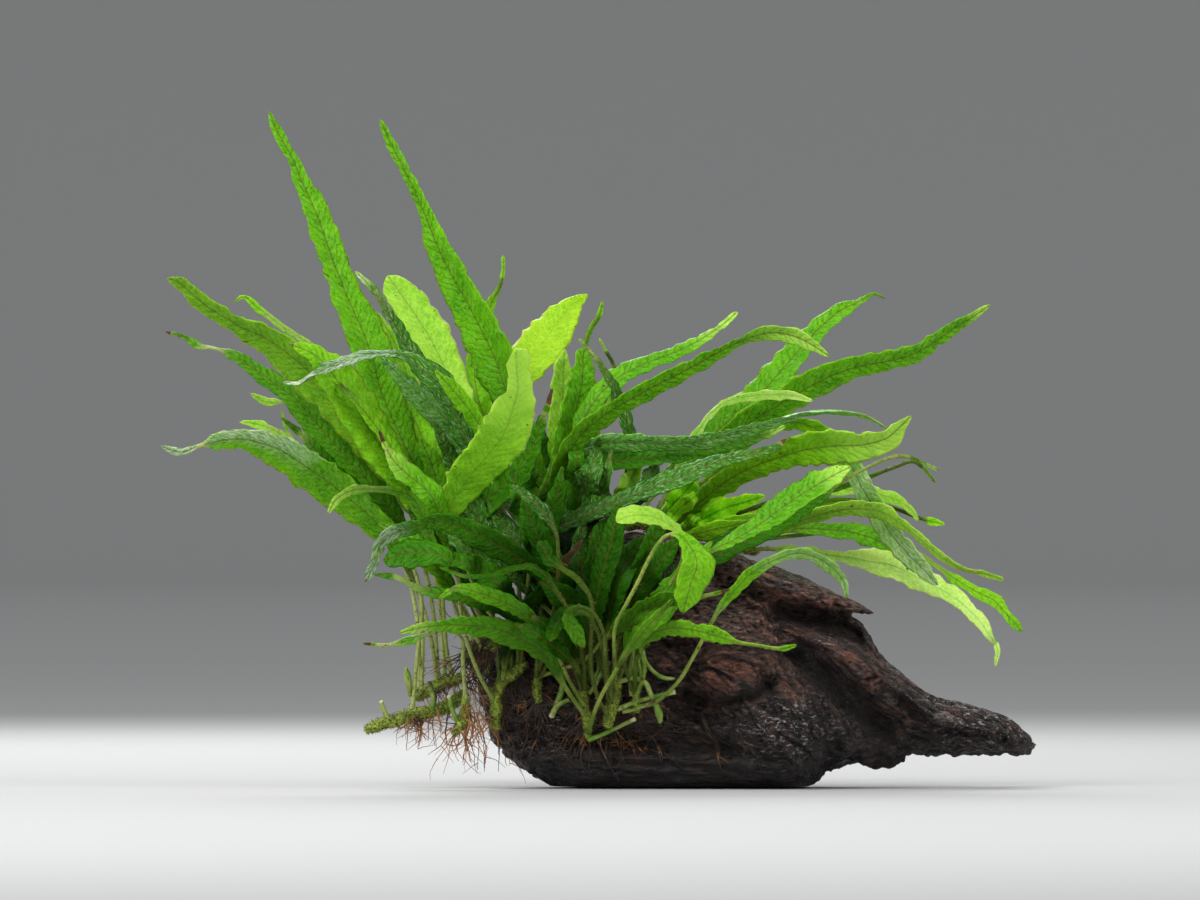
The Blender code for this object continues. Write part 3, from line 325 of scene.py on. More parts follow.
class Nodes:
    """Short ways to add and join the nodes of one material."""

    def __init__(self, made):
        self.tree = made.node_tree
        self.shader = self.tree.nodes["Principled BSDF"]

    def add(self, kind, inputs=(), **settings):
        node = self.tree.nodes.new(kind)
        for key, value in settings.items():
            setattr(node, key, value)
        for key, value in dict(inputs).items():
            if isinstance(value, bpy.types.NodeSocket):
                self.tree.links.new(value, node.inputs[key])
            else:
                node.inputs[key].default_value = value
        return node

    def place(self, scale=(1, 1, 1), turn=(0, 0, 0)):
        coordinates = self.add("ShaderNodeTexCoord")
        return self.add("ShaderNodeMapping", {"Vector": coordinates.outputs["Object"], "Scale": scale,
                                              "Rotation": turn}).outputs["Vector"]

    def noise(self, vector, scale, detail=4, rough=0.6):
        return self.add("ShaderNodeTexNoise", {"Vector": vector, "Scale": scale, "Detail": detail,
                                               "Roughness": rough}).outputs["Fac"]

    def speckle(self, scale, detail=3, rough=0.6):
        """Noise at the piece's true size."""
        return self.noise(self.place(), scale, detail, rough)

    def parts(self, vector):
        """The vector's x, y and z."""
        return self.add("ShaderNodeSeparateXYZ", {"Vector": vector}).outputs

    def ramp(self, value, low, high, to_low=0.0, to_high=1.0):
        return self.add("ShaderNodeMapRange", {"Value": value, "From Min": low, "From Max": high,
                                               "To Min": to_low, "To Max": to_high}).outputs["Result"]

    def math(self, operation, first, second=0.0):
        return self.add("ShaderNodeMath", {0: first, 1: second}, operation=operation).outputs["Value"]

    def mix(self, share, first, second, blend="MIX"):
        return self.add("ShaderNodeMix", {0: share, 6: first, 7: second}, data_type="RGBA",
                        blend_type=blend).outputs[2]

    def painted(self, name):
        colour = self.add("ShaderNodeAttribute", attribute_name=name).outputs["Color"]
        return self.add("ShaderNodeSeparateColor", {"Color": colour}).outputs

    def bump(self, height, strength, distance):
        made = self.add("ShaderNodeBump", {"Height": height, "Strength": strength, "Distance": distance})
        self.tree.links.new(made.outputs["Normal"], self.shader.inputs["Normal"])

    def finish(self, **sockets):
        for key, value in sockets.items():
            self.tree.links.new(value, self.shader.inputs[key.replace("_", " ")])


bogwood = new_material("soaked bogwood", (0.02, 0.013, 0.01), 0.4)
bogwood.node_tree.nodes["Principled BSDF"].inputs["Specular IOR Level"].default_value = 0.4
n = Nodes(bogwood)
ridged, reddish, glinting = n.painted("relief_and_glints")
sunk, high, soaked_and_painted_shade = n.painted("form")
painted_light = n.painted("painted_light")[0]
above_foot = n.ramp(high, 0.08, 0.25, 0.35, 1.0)
# Dark and light fibres along the grain, reddened in places.
fibres = 0.0
for share, slope in zip(n.painted("lie"), GRAIN_SLOPES):
    turned = n.place((0.22, 1, 1), (0, math.radians(slope), 0))
    fibres = n.math("ADD", fibres, n.math("MULTIPLY", share, n.noise(turned, 1000, 5, 0.7)))
broad = n.speckle(110)
brown = n.mix(n.ramp(fibres, 0.44, 0.62), (0.0075, 0.005, 0.004, 1), (0.098, 0.064, 0.050, 1))
red = n.mix(n.ramp(fibres, 0.38, 0.62), (0.055, 0.019, 0.012, 1), (0.32, 0.125, 0.078, 1))
reddened = n.math("MAXIMUM", reddish, n.ramp(broad, 0.46, 0.60, 0.0, 0.55))
brown = n.mix(n.math("MULTIPLY", reddened, n.ramp(ridged, 0.1, 0.5, 0.2, 1.0)), brown, red)
# Painted shade black in the cracks and low down, and painted light on the fibres high up.
brown = n.mix(n.ramp(ridged, 0.05, 0.45, 0.85, 0.0), brown, (0.005, 0.004, 0.0035, 1))
brown = n.mix(n.ramp(high, 0.06, 0.46, 0.85, 0.0), brown, (0.006, 0.0045, 0.004, 1))
lit_fibres = n.math("MULTIPLY", n.ramp(high, 0.5, 0.78, 0.0, 0.9), n.ramp(fibres, 0.42, 0.60))
brown = n.mix(lit_fibres, brown, (0.10, 0.072, 0.058, 1), "ADD")
# Hair-fine dark and light lines, and patches lightened with painted light.
hairs = n.noise(n.place((0.2, 1, 1), (0, math.radians(GRAIN_SLOPES[0]), 0)), 2100, 3, 0.7)
brown = n.mix(n.ramp(hairs, 0.47, 0.36, 0.0, 0.75), brown, (0.006, 0.004, 0.0035, 1))
brown = n.mix(n.ramp(hairs, 0.54, 0.66, 0.0, 0.6), brown, (2.4, 2.2, 2.1, 1), "MULTIPLY")
brown = n.mix(painted_light, brown, (1.9, 1.85, 1.8, 1), "MULTIPLY")
# Painted wet glints (small painted highlights), then painted shade on patches, the foot and the hollows.
along_flank = n.place((0.32, 1, 1), (0, math.radians(GRAIN_SLOPES[1]), 0))
glint = n.ramp(n.noise(along_flank, 800, 4, 0.75), 0.565, 0.615)
glint = n.math("MULTIPLY", n.math("MULTIPLY", glint, n.ramp(glinting, 0.05, 0.7, 0.17, 0.9)), above_foot)
brown = n.mix(glint, brown, (0.46, 0.41, 0.41, 1))
brown = n.mix(soaked_and_painted_shade, brown, (0.42, 0.42, 0.42, 1), "MULTIPLY")
brown = n.mix(n.ramp(high, 0.08, 0.22, 1.0, 0.0), brown, (0.55, 0.48, 0.46, 1), "MULTIPLY")
brown = n.mix(n.ramp(sunk, 0.1, 0.85, 0.0, 0.8), brown, (0.010, 0.0065, 0.005, 1))
n.finish(Base_Color=brown, Roughness=n.ramp(broad, 0.35, 0.65, 0.22, 0.42))
specks = n.speckle(1300, 3, 0.7)
grain = n.math("ADD", n.math("MULTIPLY", specks, 0.4), n.math("MULTIPLY", hairs, 0.5))
n.bump(n.math("MULTIPLY", n.math("ADD", fibres, grain), above_foot), 1.0, 0.0018)
wood.data.materials.append(bogwood)
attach(wood, "root")
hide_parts("driftwood")

wood_points = [Vector(point) for point in points]
wood_faces = [tuple(face.vertices) for face in wood.data.polygons]
wood_tree = BVHTree.FromPolygons(wood_points, wood_faces)
BEFORE_ALL = -200        # a depth in front of every piece


def wood_face(x, z):
    """The depth of the wood's front at x, z, or None beside it."""
    hit = wood_tree.ray_cast(Vector((x, BEFORE_ALL, z)), Vector((0, 1, 0)))[0]
    return hit.y if hit else None


# --- rhizomes ---
# Creeping stems, knobbly and green, with brown scales and a felt of moss. They grip the wood with their
# roots and run free past its left end; two old ends are cut across.

RHIZOME_VOXEL = 0.42
KNOB_SPAN, KNOB_HEIGHT = 2.6, 0.42
WART_SPAN, WART_HEIGHT = 0.9, 0.26
SWOLLEN = 0.25           # how far the bark stands out from the solid, between knobs and dents

creeping = new_material("creeping stem", (0.25, 0.33, 0.06), 0.7)
n = Nodes(creeping)
knob = n.painted("bark")[0]
fine = n.speckle(1300, 4, 0.65)
patch = n.speckle(260)
green = n.mix(n.ramp(patch, 0.36, 0.64), (0.085, 0.145, 0.005, 1), (0.33, 0.42, 0.025, 1))
green = n.mix(n.ramp(fine, 0.5, 0.62, 0.0, 0.7), green, (0.42, 0.52, 0.07, 1))
green = n.mix(n.ramp(fine, 0.47, 0.37, 0.0, 0.9), green, (0.035, 0.030, 0.008, 1))
green = n.mix(n.ramp(knob, 0.52, 0.2, 0.0, 0.8), green, (0.040, 0.065, 0.008, 1))
n.finish(Base_Color=green, Roughness=n.ramp(fine, 0.35, 0.65, 0.45, 0.85))
n.bump(fine, 1.0, 0.0006)

rhizomes = {}
skins = []               # points of the rhizomes' surfaces, and which way they face
for node in sorted(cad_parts):
    if not node.startswith("rhizome_"):
        continue
    stem = fine_copy(node, node + "_knobbly", RHIZOME_VOXEL)
    relax(stem, 6)
    points = points_of(stem.data)
    outward = normals_of(stem.data)
    height = np.array([KNOB_HEIGHT * noise.noise(Vector(p / KNOB_SPAN))
                       + WART_HEIGHT * noise.noise(Vector(p / WART_SPAN)) for p in points])
    set_points(stem.data, points + outward * (height + SWOLLEN)[:, None])
    paint(stem.data, "bark", (np.clip(0.5 + height, 0, 1),) * 3)
    stem.data.materials.append(creeping)
    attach(stem, "root")
    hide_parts(node)
    rhizomes[node[len("rhizome_"):]] = points
    skins.append(np.column_stack([points_of(stem.data), normals_of(stem.data)]))


# --- fronds ---
# Each leaf is one blade on its own stalk, grown from the rhizome: thin, wavy-edged, quilted between its
# slanting veins, with a raised brown midrib. Young ones are lime, old ones dark, glossy and torn or brown.

PETIOLE = 1.8
STALK_SLIM, FOOT_FLARE, FLARE_SPAN = 0.76, 0.5, 2.5    # share of the petiole's width, and its thicker foot
THINNEST = 0.8           # least true width of a frond
FROND_KNOTS = 14         # sections of its solid
STATION = 0.75           # between two rings of its fine mesh
RING_HALF = 8            # points from the midrib to the margin
RIB_STEPS = 0.3, 0.6     # where the midrib's crown and foot lie, off its middle
RIB_HEIGHT = 0.42
RIB_PROFILE = np.array([1, 0.55] + [0] * (RING_HALF - 1))    # its height there, and 0 out to the margin
BLADE_HALF, EDGE_HALF = 0.16, 0.02       # half the thickness added at the middle, and all over but the margin
VEIN_SPACING = 3.3
VEIN_SLANT = 1.05

# Each look: colour of its light and dark parts, roughness, how strongly it is quilted, how dark the midrib's
# line is, how much of it is streaked with a painted silvery sheen, how far up it the painted shade of the
# clump reaches, its gloss, and how much light passes into it. The greens of "lit" and "pale" are partly
# painted light, for leaves that lie in shade and leaves turned from the lamps; that of "shade" is partly
# painted shade, for leaves deep in the clump; the glossiest look is streaked with painted highlights.
LOOKS = {
    "yellow": ((0.32, 0.54, 0.020), (0.21, 0.44, 0.008), 0.46, 0.6, 0.12, 0.0, 0.5, 0.08, 0.5),
    "lime": ((0.31, 0.55, 0.055), (0.18, 0.43, 0.022), 0.44, 0.7, 0.3, 0.02, 0.5, 0.08, 0.5),
    "bright": ((0.19, 0.48, 0.006), (0.095, 0.33, 0.003), 0.40, 1.0, 0.5, 0.04, 0.5, 0.08, 0.3),
    "lit": ((0.34, 0.80, 0.020), (0.22, 0.66, 0.010), 0.42, 0.8, 0.4, 0.0, 0.2, 0.06, 0.5),
    "olive": ((0.165, 0.39, 0.012), (0.090, 0.27, 0.006), 0.40, 0.9, 0.45, 0.05, 0.5, 0.06, 0.3),
    "mid": ((0.125, 0.385, 0.004), (0.056, 0.25, 0.002), 0.38, 1.2, 0.55, 0.06, 0.5, 0.06, 0.2),
    "glow": ((0.25, 0.58, 0.020), (0.14, 0.43, 0.010), 0.42, 0.8, 0.22, 0.0, 0.6, 0.06, 0.4),
    "dusky": ((0.080, 0.262, 0.004), (0.036, 0.168, 0.002), 0.39, 1.3, 0.5, 0.05, 0.5, 0.05, 0.0),
    "shade": ((0.044, 0.185, 0.002), (0.019, 0.110, 0.001), 0.40, 1.3, 0.5, 0.03, 0.60, 0.035, 0.0),
    "deep": ((0.048, 0.18, 0.006), (0.019, 0.098, 0.003), 0.33, 1.4, 0.5, 0.26, 0.5, 0.10, 0.0),
    "glossy_sheen": ((0.21, 0.60, 0.062), (0.078, 0.33, 0.022), 0.27, 1.5, 0.35, 0.95, 0.4, 0.25, 0.0),
    "pale": ((0.60, 0.92, 0.23), (0.42, 0.76, 0.11), 0.42, 0.5, 0.25, 0.1, 0.4, 0.08, 0.5),
}
THROUGH = 0.0012         # how far light spreads inside a blade, in metres
HEART = (-45, 70), (36, 32)      # where painted shade darkens the clump: middle and half sizes, x and z
# How strongly that painted shade darkens each look.
HEART_SHARE = {"mid": 0.75, "olive": 0.55, "dusky": 0.75, "shade": 0.70, "deep": 0.72, "glossy_sheen": 0.5,
               "bright": 0.25, "glow": 0.6}

# Name, rhizome, look, how far it is turned out of the front view, and its line from tip to base: x, z, the
# width that shows and, where the blade is nearly edge on, its true width.
FRONDS = [
    ("tall_left", "left_crown", "mid", 1.2,
     [(-151, 236.5, 1), (-148.6, 230, 3.3), (-143, 220, 4), (-138.7, 210, 6), (-134.2, 200, 8.5),
      (-130.6, 190, 9.4), (-127, 180, 9.5), (-123, 170, 11), (-118.4, 160, 13), (-114.7, 150, 14),
      (-111.5, 138, 13), (-106, 125, 11), (-99, 110, 7), (-92, 94, 4), (-84, 76, 2), (-77, 62, 1.8),
      (-71, 51, 1.8)]),
    ("tall_right", "crest", "mid", -1.2,
     [(-112.4, 234, 1), (-108.2, 225, 3.5), (-103.5, 216, 4), (-95.4, 198, 6), (-92.3, 190, 8.5),
      (-87.5, 180, 10.5), (-82, 170, 12), (-76.9, 160, 13.7), (-72, 150, 15), (-68.8, 141, 13),
      (-63, 128, 11), (-58, 114, 7), (-51, 100, 3), (-44, 86, 1.8)]),
    ("left_upper", "left_crown", "olive", -1.3,
     [(-185.6, 177.5, 1), (-182.5, 176.5, 3.5), (-177, 172, 5), (-171.8, 167.7, 5.5), (-165, 163.5, 6),
      (-158, 159.5, 7.5), (-152, 157, 9), (-145.5, 152.5, 12), (-140, 148, 14), (-131, 139, 13),
      (-120, 126, 12), (-108, 110, 9), (-97, 92, 5), (-88, 74, 2), (-82, 60, 1.8), (-77, 48, 1.8)]),
    ("left_broad", "left_high", "bright", 1.2,
     [(-142.3, 154.2, 1.5), (-134, 150.5, 7), (-128, 144, 12), (-121, 134, 14), (-113, 121, 14),
      (-104, 108, 11), (-96, 94, 7), (-91, 78, 3), (-89.5, 60, 1.8), (-88.3, 46, 1.8), (-86.5, 37.5, 1.8)]),
    ("left_middle", "left_high", "dusky", 1.3,
     [(-187.2, 159, 1), (-181, 157.3, 1.5), (-175.5, 153.8, 3), (-170.5, 153.3, 1, 3),
      (-163, 150.5, 4), (-157.5, 147, 5), (-151.5, 142.7, 6), (-146, 138.8, 7), (-140, 134, 9),
      (-135, 128, 10.5), (-129.5, 121.5, 12), (-122, 113, 12), (-112, 102, 9), (-103, 88, 5),
      (-96, 75, 2), (-93.8, 64.6, 1.8), (-92, 46.6, 1.8), (-91.4, 36, 1.8)]),
    ("left_low", "left_low", "mid", -1.25,
     [(-187, 119, 1), (-180, 117, 2.5), (-175, 118.7, 1.5), (-168, 120.7, 5), (-160, 121.5, 7),
      (-152, 119.8, 10), (-145, 117, 12), (-138, 112.3, 13), (-131, 107.5, 13.5), (-124, 102, 13),
      (-114, 93.5, 10), (-106, 85, 6), (-99.5, 75, 2), (-97.3, 66, 1.8), (-98.7, 46.6, 1.8),
      (-100.6, 26, 1.8)]),
    ("arch_dark", "crest", "deep", 1.3,
     [(-145, 141, 1, 2), (-140.4, 140.6, 1, 3), (-136, 142.7, 0.8, 5), (-131, 145.5, 3.5, 6),
      (-125, 147.5, 3.5, 7), (-115, 150.5, 2.8, 8), (-103, 149.5, 3, 9), (-95.6, 144.4, 8.5),
      (-91.5, 141.5, 9), (-86.9, 134.5, 9), (-83, 125, 9), (-77, 112, 6), (-69, 96, 3),
      (-62, 82, 1.8), (-59.5, 68, 1.8)]),
    ("dark_upright", "crest", "deep", 1.35,
     [(-120.5, 180, 1), (-116.5, 176, 2.5), (-112.5, 171, 3), (-109.5, 166, 3.3), (-106, 160.5, 4.5),
      (-103, 155, 5.5), (-100, 150, 6), (-94, 140, 7), (-87, 128, 7), (-79, 113, 5), (-67, 97, 3),
      (-56.5, 84, 1.8), (-53, 75, 1.8)]),
    ("dark_glossy", "crest", "glossy_sheen", -1.3,
     [(-111.5, 150, 1), (-106, 145, 4), (-100, 139, 6.5), (-94, 133, 8), (-87, 127, 9), (-80, 119, 9),
      (-72, 108, 6), (-62, 95, 3), (-54, 86, 1.8), (-50, 79, 1.8)]),
    ("blunt_lime", "crest", "lime", 1.2,
     [(-109.5, 178.7, 3), (-108, 176.5, 7), (-104, 171, 11), (-99, 164, 13), (-94.5, 157, 14),
      (-91, 150, 13.5), (-88, 143, 12), (-84, 132, 11), (-78, 118, 8), (-68, 102, 4), (-53, 92, 1.8),
      (-41, 88, 1.8)]),
    ("bright_lime", "crest", "yellow", -1.2,
     [(-39.3, 172.5, 1), (-45, 168.5, 7), (-50.5, 161.5, 13), (-55, 155.5, 15), (-60, 149, 15),
      (-64, 143, 13), (-67, 135, 12), (-66, 120, 9), (-60, 106, 5), (-46, 97, 2), (-38, 89, 1.8)]),
    ("torn_tip", "crest", "mid", 1.25,
     [(-40.5, 153, 5), (-41, 150, 6.5), (-41, 146, 8), (-41.5, 140, 10), (-43, 133, 12), (-45, 125, 12),
      (-47, 115, 11), (-46, 105, 7), (-40, 97, 3), (-35, 91, 1.8)]),
    ("twisted_dark", "crest", "deep", 1.4,
     [(-42.5, 156.5, 1), (-39, 152.5, 1.2), (-36, 149, 2.5), (-33, 144, 3), (-30, 139, 3.5),
      (-28.5, 134, 4), (-26, 128, 4.5), (-25, 122, 4.5), (-25, 108, 3.5), (-26.5, 99, 2),
      (-26.5, 92, 1.8)]),
    ("middle_thin", "crest", "mid", -1.3,
     [(13.2, 166, 2), (7.5, 161, 2.5), (0, 156, 3.8), (-8, 152, 4.5), (-16, 149, 5.5), (-23, 146, 6.5),
      (-29, 142.5, 7), (-35, 137, 7), (-41, 127, 6.5), (-43, 115, 5), (-38, 102, 3), (-31, 92, 1.8)]),
    ("long_curved", "crest", "mid", 1.3,
     [(44.9, 150, 1), (39, 154, 3.5), (33, 157, 5.5), (25, 158.5, 5), (15, 156, 3, 5), (5, 151, 4.5),
      (-5, 145.5, 6), (-15, 140.5, 6), (-25, 135, 6), (-34, 129.5, 6), (-42, 122.5, 7), (-47.5, 114, 6.5),
      (-52, 104, 5), (-55.5, 95, 3), (-57, 84, 1.8), (-56.2, 72, 1.8)]),
    ("right_high", "back", "mid", -1.3,
     [(65.5, 171, 1), (62, 172.6, 1), (56, 169.5, 3), (50, 166.8, 5), (44, 162, 6.5), (37, 155, 8),
      (30, 147, 9), (23, 139, 9.5), (15, 132, 10), (7, 125, 10), (0, 118, 8), (-11, 108, 5),
      (-19, 98, 2), (-24, 89, 1.8)]),
    ("right_upper", "back", "mid", 1.3,
     [(102, 168.7, 1), (97, 165.3, 2.5), (90, 161, 4), (82, 155.5, 5.5), (74, 151, 6.5),
      (65, 148.7, 7), (55, 146.8, 8), (46, 143.8, 9.5), (38, 139.7, 10.5), (30, 135, 10), (20, 129, 10),
      (10, 122, 9), (0, 113, 6), (-11, 102, 3), (-19.5, 90, 1.8)]),
    ("pale_arch", "crest", "pale", 1.4,
     [(39, 134.7, 1), (32, 136.7, 3), (23, 137, 3, 5), (14, 136, 2.5, 5), (8, 134, 2, 5),
      (3, 129.8, 1.8, 5), (0, 125.5, 2.5, 5), (-3, 121.5, 3), (-8, 110, 3), (-13, 100, 2),
      (-17.5, 92, 1.8)]),
    ("glossy_straight", "crest", "glossy_sheen", 1.3,
     [(65, 125, 1), (61.9, 127.2, 1, 3), (57, 129.5, 1.5, 4), (50, 130.7, 1.3, 5), (42.6, 130.9, 1, 6),
      (35, 130, 1.5, 7), (24.5, 127, 3, 8), (12, 123.5, 4.5, 8), (0, 120.5, 5, 8), (-12, 120, 5, 9),
      (-24, 120.3, 6.5, 9), (-35, 120, 6, 8), (-43, 117, 4), (-49, 109, 3), (-50, 96, 1.8),
      (-47, 82, 1.8)]),
    ("glossy_grey", "crest", "deep", -1.3,
     [(30, 121.5, 1), (24, 117.5, 3), (16, 116, 3.5), (8, 114, 4.5), (0, 111, 6), (-8, 107.5, 6.5),
      (-16, 105, 6.5), (-25, 101, 5.5), (-34, 97.5, 6), (-48, 91, 4), (-57, 86, 2.5), (-63, 78, 1.8),
      (-63, 64, 1.8)]),
    ("right_broad", "back", "bright", 1.2,
     [(73, 129.5, 1), (69.5, 126, 4), (65, 122, 7.5), (57, 119.5, 9.5), (47, 119, 11.5),
      (38, 118, 11.5), (29, 115.5, 9.5), (20, 112.5, 9), (11, 108, 8), (3, 102, 7), (-5, 95, 3.5),
      (-10.5, 89, 1.8)]),
    ("right_long_front", "wood_centre", "shade", -1.25,
     [(84, 110.4, 1), (70, 115.5, 0.8, 2), (58, 111.3, 0.8, 3), (50, 107, 2), (42, 101.5, 4),
      (34, 96.8, 7), (25, 91.5, 8.5), (16, 87, 9), (7, 82.3, 9), (-2, 77.5, 8), (-12, 70, 5),
      (-19, 61, 3), (-24, 50, 1.8), (-29, 36, 1.8)]),
    ("right_lime_behind", "back", "lime", 1.2,
     [(51, 113, 1), (45, 107, 8), (38, 101, 13), (30, 95.5, 14), (20, 91, 10), (11, 90, 5),
      (1, 89.5, 1.8), (-6, 88, 1.8)]),
    ("right_lime_thin", "back", "lime", -1.4,
     [(76.8, 92.5, 1), (75, 95.5, 2), (70, 99.5, 3.5), (63, 102, 4.5), (55, 103.5, 4),
      (44, 103, 4), (33, 100, 4), (20, 96, 3), (8, 94, 2), (-1.5, 89, 1.8)]),
    ("right_club", "back", "lime", 1.4,
     [(105.5, 72.5, 2), (99, 74.5, 2), (92, 76, 2.5), (84, 80.5, 3), (77, 86.5, 3), (70, 92, 3.5),
      (64, 96, 5), (55, 97.3, 5.5), (45, 96, 5), (35, 93, 4), (22, 88.5, 3), (12, 87, 1.8),
      (5, 85.5, 1.8)]),
    ("right_narrow", "back", "bright", -1.4,
     [(112.4, 54.1, 2.5), (111, 56, 3), (107.4, 59.7, 3.5), (103, 64.7, 4.5), (96.7, 67.9, 4.5),
      (90.5, 71.6, 3.5), (84, 76, 2.5), (77, 81, 2.5), (68, 86, 3), (56, 88.5, 3), (42, 88.5, 2.5),
      (28, 87, 2), (18, 86, 1.8), (10, 84.5, 1.8)]),
    ("right_grey", "back", "bright", 1.3,
     [(83, 70.5, 2), (79, 75, 5), (73, 81, 7), (67, 88, 8.5), (62, 96, 8), (57, 104, 8), (53, 112, 7),
      (47, 120, 6), (40, 125.5, 5), (33, 127.5, 5), (20, 123, 4), (9, 113, 3), (-5, 101, 2),
      (-15, 90, 1.8)]),
    ("right_lime_low", "back", "pale", -1.25,
     [(104, 41.6, 1), (104.5, 48, 2), (102, 52, 3), (97, 59, 5), (91, 64.5, 6), (84, 69, 7),
      (76, 73, 9.5), (68, 77, 10), (60, 78.5, 9), (52, 79.9, 5), (43, 80.8, 4), (32, 82, 4),
      (24, 83, 2), (16, 82, 1.8)]),
    ("front_arch_right", "wood_right", "bright", 1.4,
     [(50.8, 66.2, 1), (49.5, 72, 2.5), (46, 76.5, 4), (41, 80, 4), (34, 82, 3.5), (26, 79.8, 3.5),
      (18, 75.5, 4.5), (12, 69.5, 4), (7, 63.5, 3), (3.5, 57.5, 1.8), (-2.8, 45.5, 1.8),
      (-8.8, 36, 1.8), (-16.2, 29.8, 1.8), (-22.3, 28, 1.8)]),
    ("front_low", "wood_right", "bright", 1.3,
     [(33, 50.2, 1), (27.5, 49, 2), (20, 50, 1.2, 3), (12, 51.3, 2.5), (5, 53.5, 5), (-3, 55.5, 4.5),
      (-11, 56, 5), (-17.5, 53.5, 4.5), (-20.5, 49.5, 2.5), (-19.5, 42, 1.8), (-22.5, 31.5, 1.8)]),
    ("front_pale_stub", "wood_right", "lime", 1.3,
     [(-29.3, 92.8, 4), (-27, 94, 5), (-20, 95, 6), (-12, 92.3, 4.5), (-7, 87.5, 3), (-6.5, 80, 1.8),
      (-11, 70, 1.8), (-18, 58, 1.8), (-23, 47, 1.8), (-23, 36, 1.8)]),
    ("front_hanging", "wood_centre", "bright", -1.2,
     [(-6.5, 61.2, 1), (-5.3, 66, 8), (-3.5, 72, 11), (-1.5, 78, 12), (-4, 84.5, 7), (-8.3, 88.3, 3.5),
      (-12, 88, 1.8), (-15, 85, 1.8), (-18.5, 79, 1.8), (-22.3, 71, 1.8), (-26, 64, 1.8), (-29.5, 57, 1.8),
      (-30, 46, 1.8), (-29.4, 33.5, 1.8)]),
    ("centre_broad", "left_crown", "glow", 1.15,
     [(-64.3, 152.7, 2.5), (-64, 151, 5.5), (-63.8, 145, 7.5), (-63.5, 138, 10), (-65.5, 131, 15),
      (-68, 124, 17), (-73, 117, 16), (-79, 110, 15), (-88, 96, 8), (-91, 84, 3), (-85, 68, 1.8),
      (-75, 48.5, 1.8)]),
    ("centre_brown_tip", "left_crown", "shade", -1.25,
     [(-51.5, 139, 1), (-53.5, 132, 2), (-56, 125, 4.5), (-59.5, 117, 8), (-64.5, 110, 11),
      (-71, 103.5, 12), (-77.5, 98, 10), (-81.5, 91, 6), (-82, 82, 2.5), (-77, 66, 1.8),
      (-67.5, 53.5, 1.8)]),
    ("left_yellow", "left_crown", "mid", 1.3,
     [(-111.5, 124.5, 1), (-110, 120, 1.5), (-107.5, 115, 4), (-103.5, 110.5, 7), (-98, 106, 8),
      (-93.5, 101.5, 8), (-91, 95, 6), (-87.5, 84, 3), (-81, 68, 1.8), (-72.5, 50, 1.8)]),
    ("left_light_arch", "left_crown", "mid", -1.5,
     [(-129.2, 95.5, 1), (-126.5, 100.5, 2.5), (-121, 103.7, 3), (-113, 104.2, 2.5), (-106, 103.5, 3),
      (-100, 101, 4), (-96, 93, 4), (-92, 80, 2.5), (-86, 64, 1.8), (-79.5, 46, 1.8)]),
    ("left_oval", "left_fork", "shade", 1.2,
     [(-110.3, 79.5, 1), (-109, 79.6, 4), (-103, 81.5, 9), (-96, 81.8, 10), (-89, 80.5, 6),
      (-85, 75, 3), (-83.5, 62, 1.8), (-81, 50, 1.8), (-76.1, 37.3, 1.8), (-71.3, 29, 1.8)]),
    ("centre_folded", "wood_middle", "shade", -1.25,
     [(-116.2, 72, 1), (-115, 74.5, 3), (-112.7, 79, 3), (-111.5, 84.5, 4), (-106, 89, 5),
      (-98, 91.5, 4.5), (-92, 93, 6), (-84, 91.5, 8), (-75, 87, 9), (-66, 82, 8), (-58, 77, 6),
      (-51, 69, 3), (-43, 58, 1.8), (-38, 48, 1.8), (-40.1, 37.5, 1.8)]),
    ("centre_dark", "wood_middle", "deep", 1.2,
     [(-92, 91.5, 1), (-86, 88, 6), (-79.5, 82, 9), (-72, 77.5, 9), (-65, 74, 6), (-57, 66, 3),
      (-48, 56, 1.8), (-42, 46, 1.8), (-40.4, 34, 1.8)]),
    ("left_grey", "wood_middle", "shade", 1.3,
     [(-113.3, 74.5, 1), (-106, 73.5, 2.5), (-98, 69.5, 3), (-90, 67.5, 4), (-80, 66, 6), (-70, 63.5, 6),
      (-60, 57, 4), (-51, 48, 2), (-46, 38, 1.8), (-40.6, 28.5, 1.8)]),
    ("left_bright_low", "wood_middle", "mid", -1.3,
     [(-104.6, 54.2, 1), (-98, 56, 3), (-89, 57, 4.5), (-79, 56.8, 7), (-69, 55, 9), (-60, 51, 8),
      (-53, 45, 5), (-47, 35, 2.5), (-39.8, 24.5, 1.8)]),
    ("left_string", "left_hook", "mid", 1.5,
     [(-117.3, 50.4, 1), (-109.9, 49.7, 1.5), (-103.2, 50.7, 3), (-93.9, 53.8, 1.5, 3), (-86.5, 54.6, 2),
      (-83.3, 52, 1.8), (-82.8, 44.3, 1.8), (-81.8, 30, 1.8)]),
    ("speckled", "left_fork", "shade", 1.3,
     [(-41, 86.5, 1.2), (-46, 80.5, 3), (-50, 76, 4), (-54, 70.5, 5), (-59.5, 64, 5.5),
      (-63.5, 57, 5.5), (-66, 50, 4.5), (-67.8, 44, 3), (-69, 37, 1.8)]),
    ("front_lobed", "wood_centre", "mid", -1.3,
     [(-40.5, 49, 1), (-42.5, 53, 5), (-45.5, 57.5, 5), (-46, 61.3, 3.5), (-42.5, 63.2, 2.5),
      (-38, 61.5, 2.2), (-34, 55, 1.8), (-33, 42, 1.8), (-30.6, 29, 1.8)]),
    ("front_spoon", "wood_centre", "shade", 1.2,
     [(-56.5, 85.8, 3), (-54.5, 83.5, 5), (-53, 80.5, 4.5), (-48, 76.5, 3), (-42, 72, 3), (-38, 65, 2.5),
      (-38, 56, 1.8), (-38, 42, 1.8), (-35.5, 31, 1.8), (-31.6, 24, 1.8)]),
    ("with_sori", "wood_left", "mid", 1.25,
